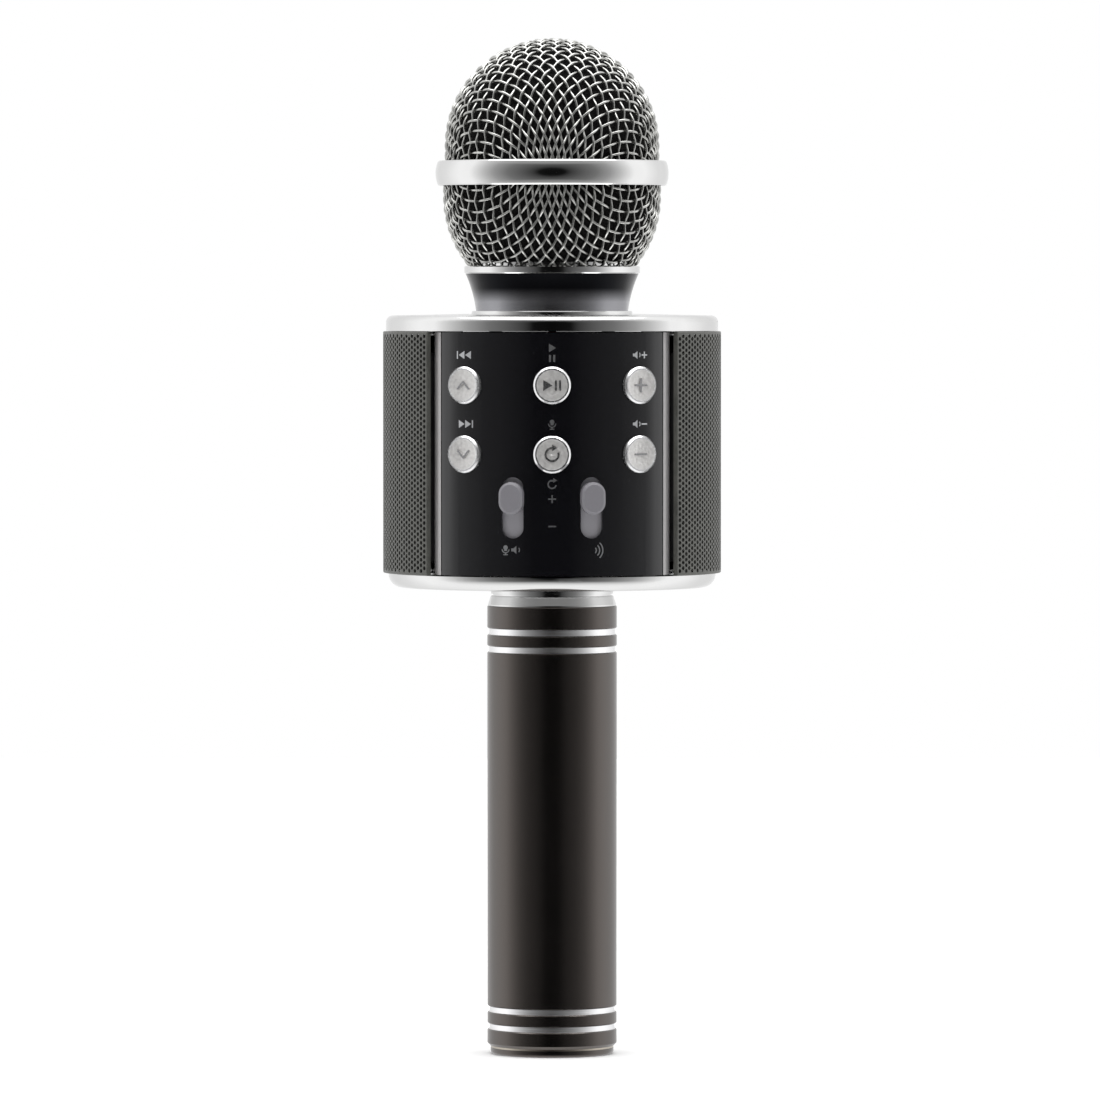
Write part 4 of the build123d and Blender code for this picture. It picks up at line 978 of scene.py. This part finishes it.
def socket_marks():
    """The pictograms of the rear panel, in the same form."""
    sockets, beside_switch, switch = 180.0 - 9.0, 180.0 + 13.6, middle_height("power_switch")
    return [
        (sockets, middle_height("usb_socket"), stick_mark()),
        (sockets, middle_height("card_socket"), card_mark()),
        (sockets, middle_height("jack_socket"), headphones_mark()),
        (sockets, middle_height("charge_socket"), charge_mark()),
        (beside_switch, switch + 1.6 * MM, on_mark()),
        (beside_switch, switch - 1.8 * MM, off_mark()),
    ]


def print_on_panels():
    """Pictograms beside the controls and sockets, a hair proud of the panels."""
    ink = 0.03 * MM
    radius = high("rear_panel").y
    points, faces = [], []
    for azimuth, height, shapes in control_marks() + socket_marks():
        middle = math.radians(azimuth) * radius
        for shape in shapes:
            offset = len(points)
            points += [on_wall(radius + ink, middle + x * MM, height + y * MM) for x, y in shape]
            for triangle in tessellate_polygon([[Vector((x, y, 0)) for x, y in shape]]):
                a, b, c = (Vector(points[offset + k]) for k in triangle)
                outward = (b - a).cross(c - a).dot(Vector((a.x, a.y, 0))) > 0
                faces.append([offset + k for k in (triangle if outward else triangle[::-1])])
    thicken(piece("panel_pictograms", "case", points, faces, print_ink()), ink)


# ---- Studio


def studio():
    """Pale floor and a soft light above."""
    shader = Shader("floor")
    shade = shader.noise(0.4, 2.0)
    shader.set(color=shader.blend(shade, (0.86, 0.86, 0.86), (0.88, 0.88, 0.88)), rough=0.9, specular=0.1)
    half = 1.4
    corners = [(-half, -half, 0), (half, -half, 0), (half, half, 0), (-half, half, 0)]
    mesh = bpy.data.meshes.new("floor")
    mesh.from_pydata(corners, [], [(0, 1, 2, 3)])
    mesh.materials.append(shader.material)
    floor = bpy.data.objects.new("floor", mesh)
    bpy.context.scene.collection.objects.link(floor)
    floor.visible_glossy = False

    light = bpy.data.lights.new("overhead", "AREA")
    light.shape, light.size, light.energy = "DISK", 3.0, 60.0
    lamp = bpy.data.objects.new("overhead", light)
    lamp.location = (0, -0.3, 2.2)
    bpy.context.scene.collection.objects.link(lamp)


# Brightness of the surround by the angle, in degrees, from the way the control panel faces
SURROUND = [
    (0, 0.004), (13, 0.007), (19, 0.06), (30, 0.13), (45, 0.22), (60, 0.42), (72, 0.70), (82, 0.98),
    (90, 1.22), (106, 1.25), (130, 1.0), (150, 0.90),
]


def surround():
    """World light by direction: dark in front, white at the sides, above and below, and white as seen."""
    world = bpy.data.worlds.new("studio")
    bpy.context.scene.world = world
    world.use_nodes = True
    world.node_tree.nodes.clear()
    wiring = Wiring(world.node_tree)
    white, steep_from, steep_to, steep_level = (1, 1, 1, 1), 0.45, 0.95, 1.2

    place = wiring.add("ShaderNodeTexCoord")
    split = wiring.add("ShaderNodeSeparateXYZ")
    wiring.feed(split.inputs[0], place.outputs["Generated"])
    _, y, z = split.outputs
    angle = wiring.maths("ARCCOSINE", wiring.maths("MULTIPLY", y, -1.0))
    ramp = wiring.add("ShaderNodeValToRGB")
    wiring.feed(ramp.inputs[0], wiring.maths("DIVIDE", angle, math.pi))
    stops = ramp.color_ramp.elements
    for k, (degrees, level) in enumerate(SURROUND):
        stop = stops[k] if k < 2 else stops.new(degrees / 180)
        stop.position, stop.color = degrees / 180, (level, level, level, 1)

    steep = wiring.between(wiring.maths("ABSOLUTE", z), steep_from, steep_to)
    around = wiring.node("ShaderNodeBackground", ramp.outputs[0])
    above = wiring.node("ShaderNodeBackground", white, steep_level)
    lit = wiring.node("ShaderNodeMixShader", steep, around, above)
    seen = wiring.node("ShaderNodeBackground", white)
    rays = wiring.add("ShaderNodeLightPath")
    final = wiring.node("ShaderNodeMixShader", rays.outputs["Is Camera Ray"], lit, seen)
    wiring.feed(wiring.add("ShaderNodeOutputWorld").inputs[0], final)
    bpy.context.scene.view_settings.view_transform = "Standard"


def camera():
    """A little above the drum's roof, far away and with a long lens."""
    data = bpy.data.cameras.new("camera")
    data.lens, data.sensor_width = 294.6, 36.0
    data.clip_end = 100
    eye = bpy.data.objects.new("camera", data)
    eye.location = (-0.5 * MM, -2180 * MM, 182.7 * MM)
    aim = Vector((-0.5 * MM, 0, 122.1 * MM))
    eye.rotation_euler = (aim - eye.location).to_track_quat("-Z", "Y").to_euler()
    bpy.context.scene.collection.objects.link(eye)
    bpy.context.scene.camera = eye


camera()
surround()
studio()
finish_cad_nodes()
wire_ball()
foam_ball()
threaded_cradle()
for grille in ("left", "right"):
    side_grille(grille)
dust_cloths()
print_on_panels()
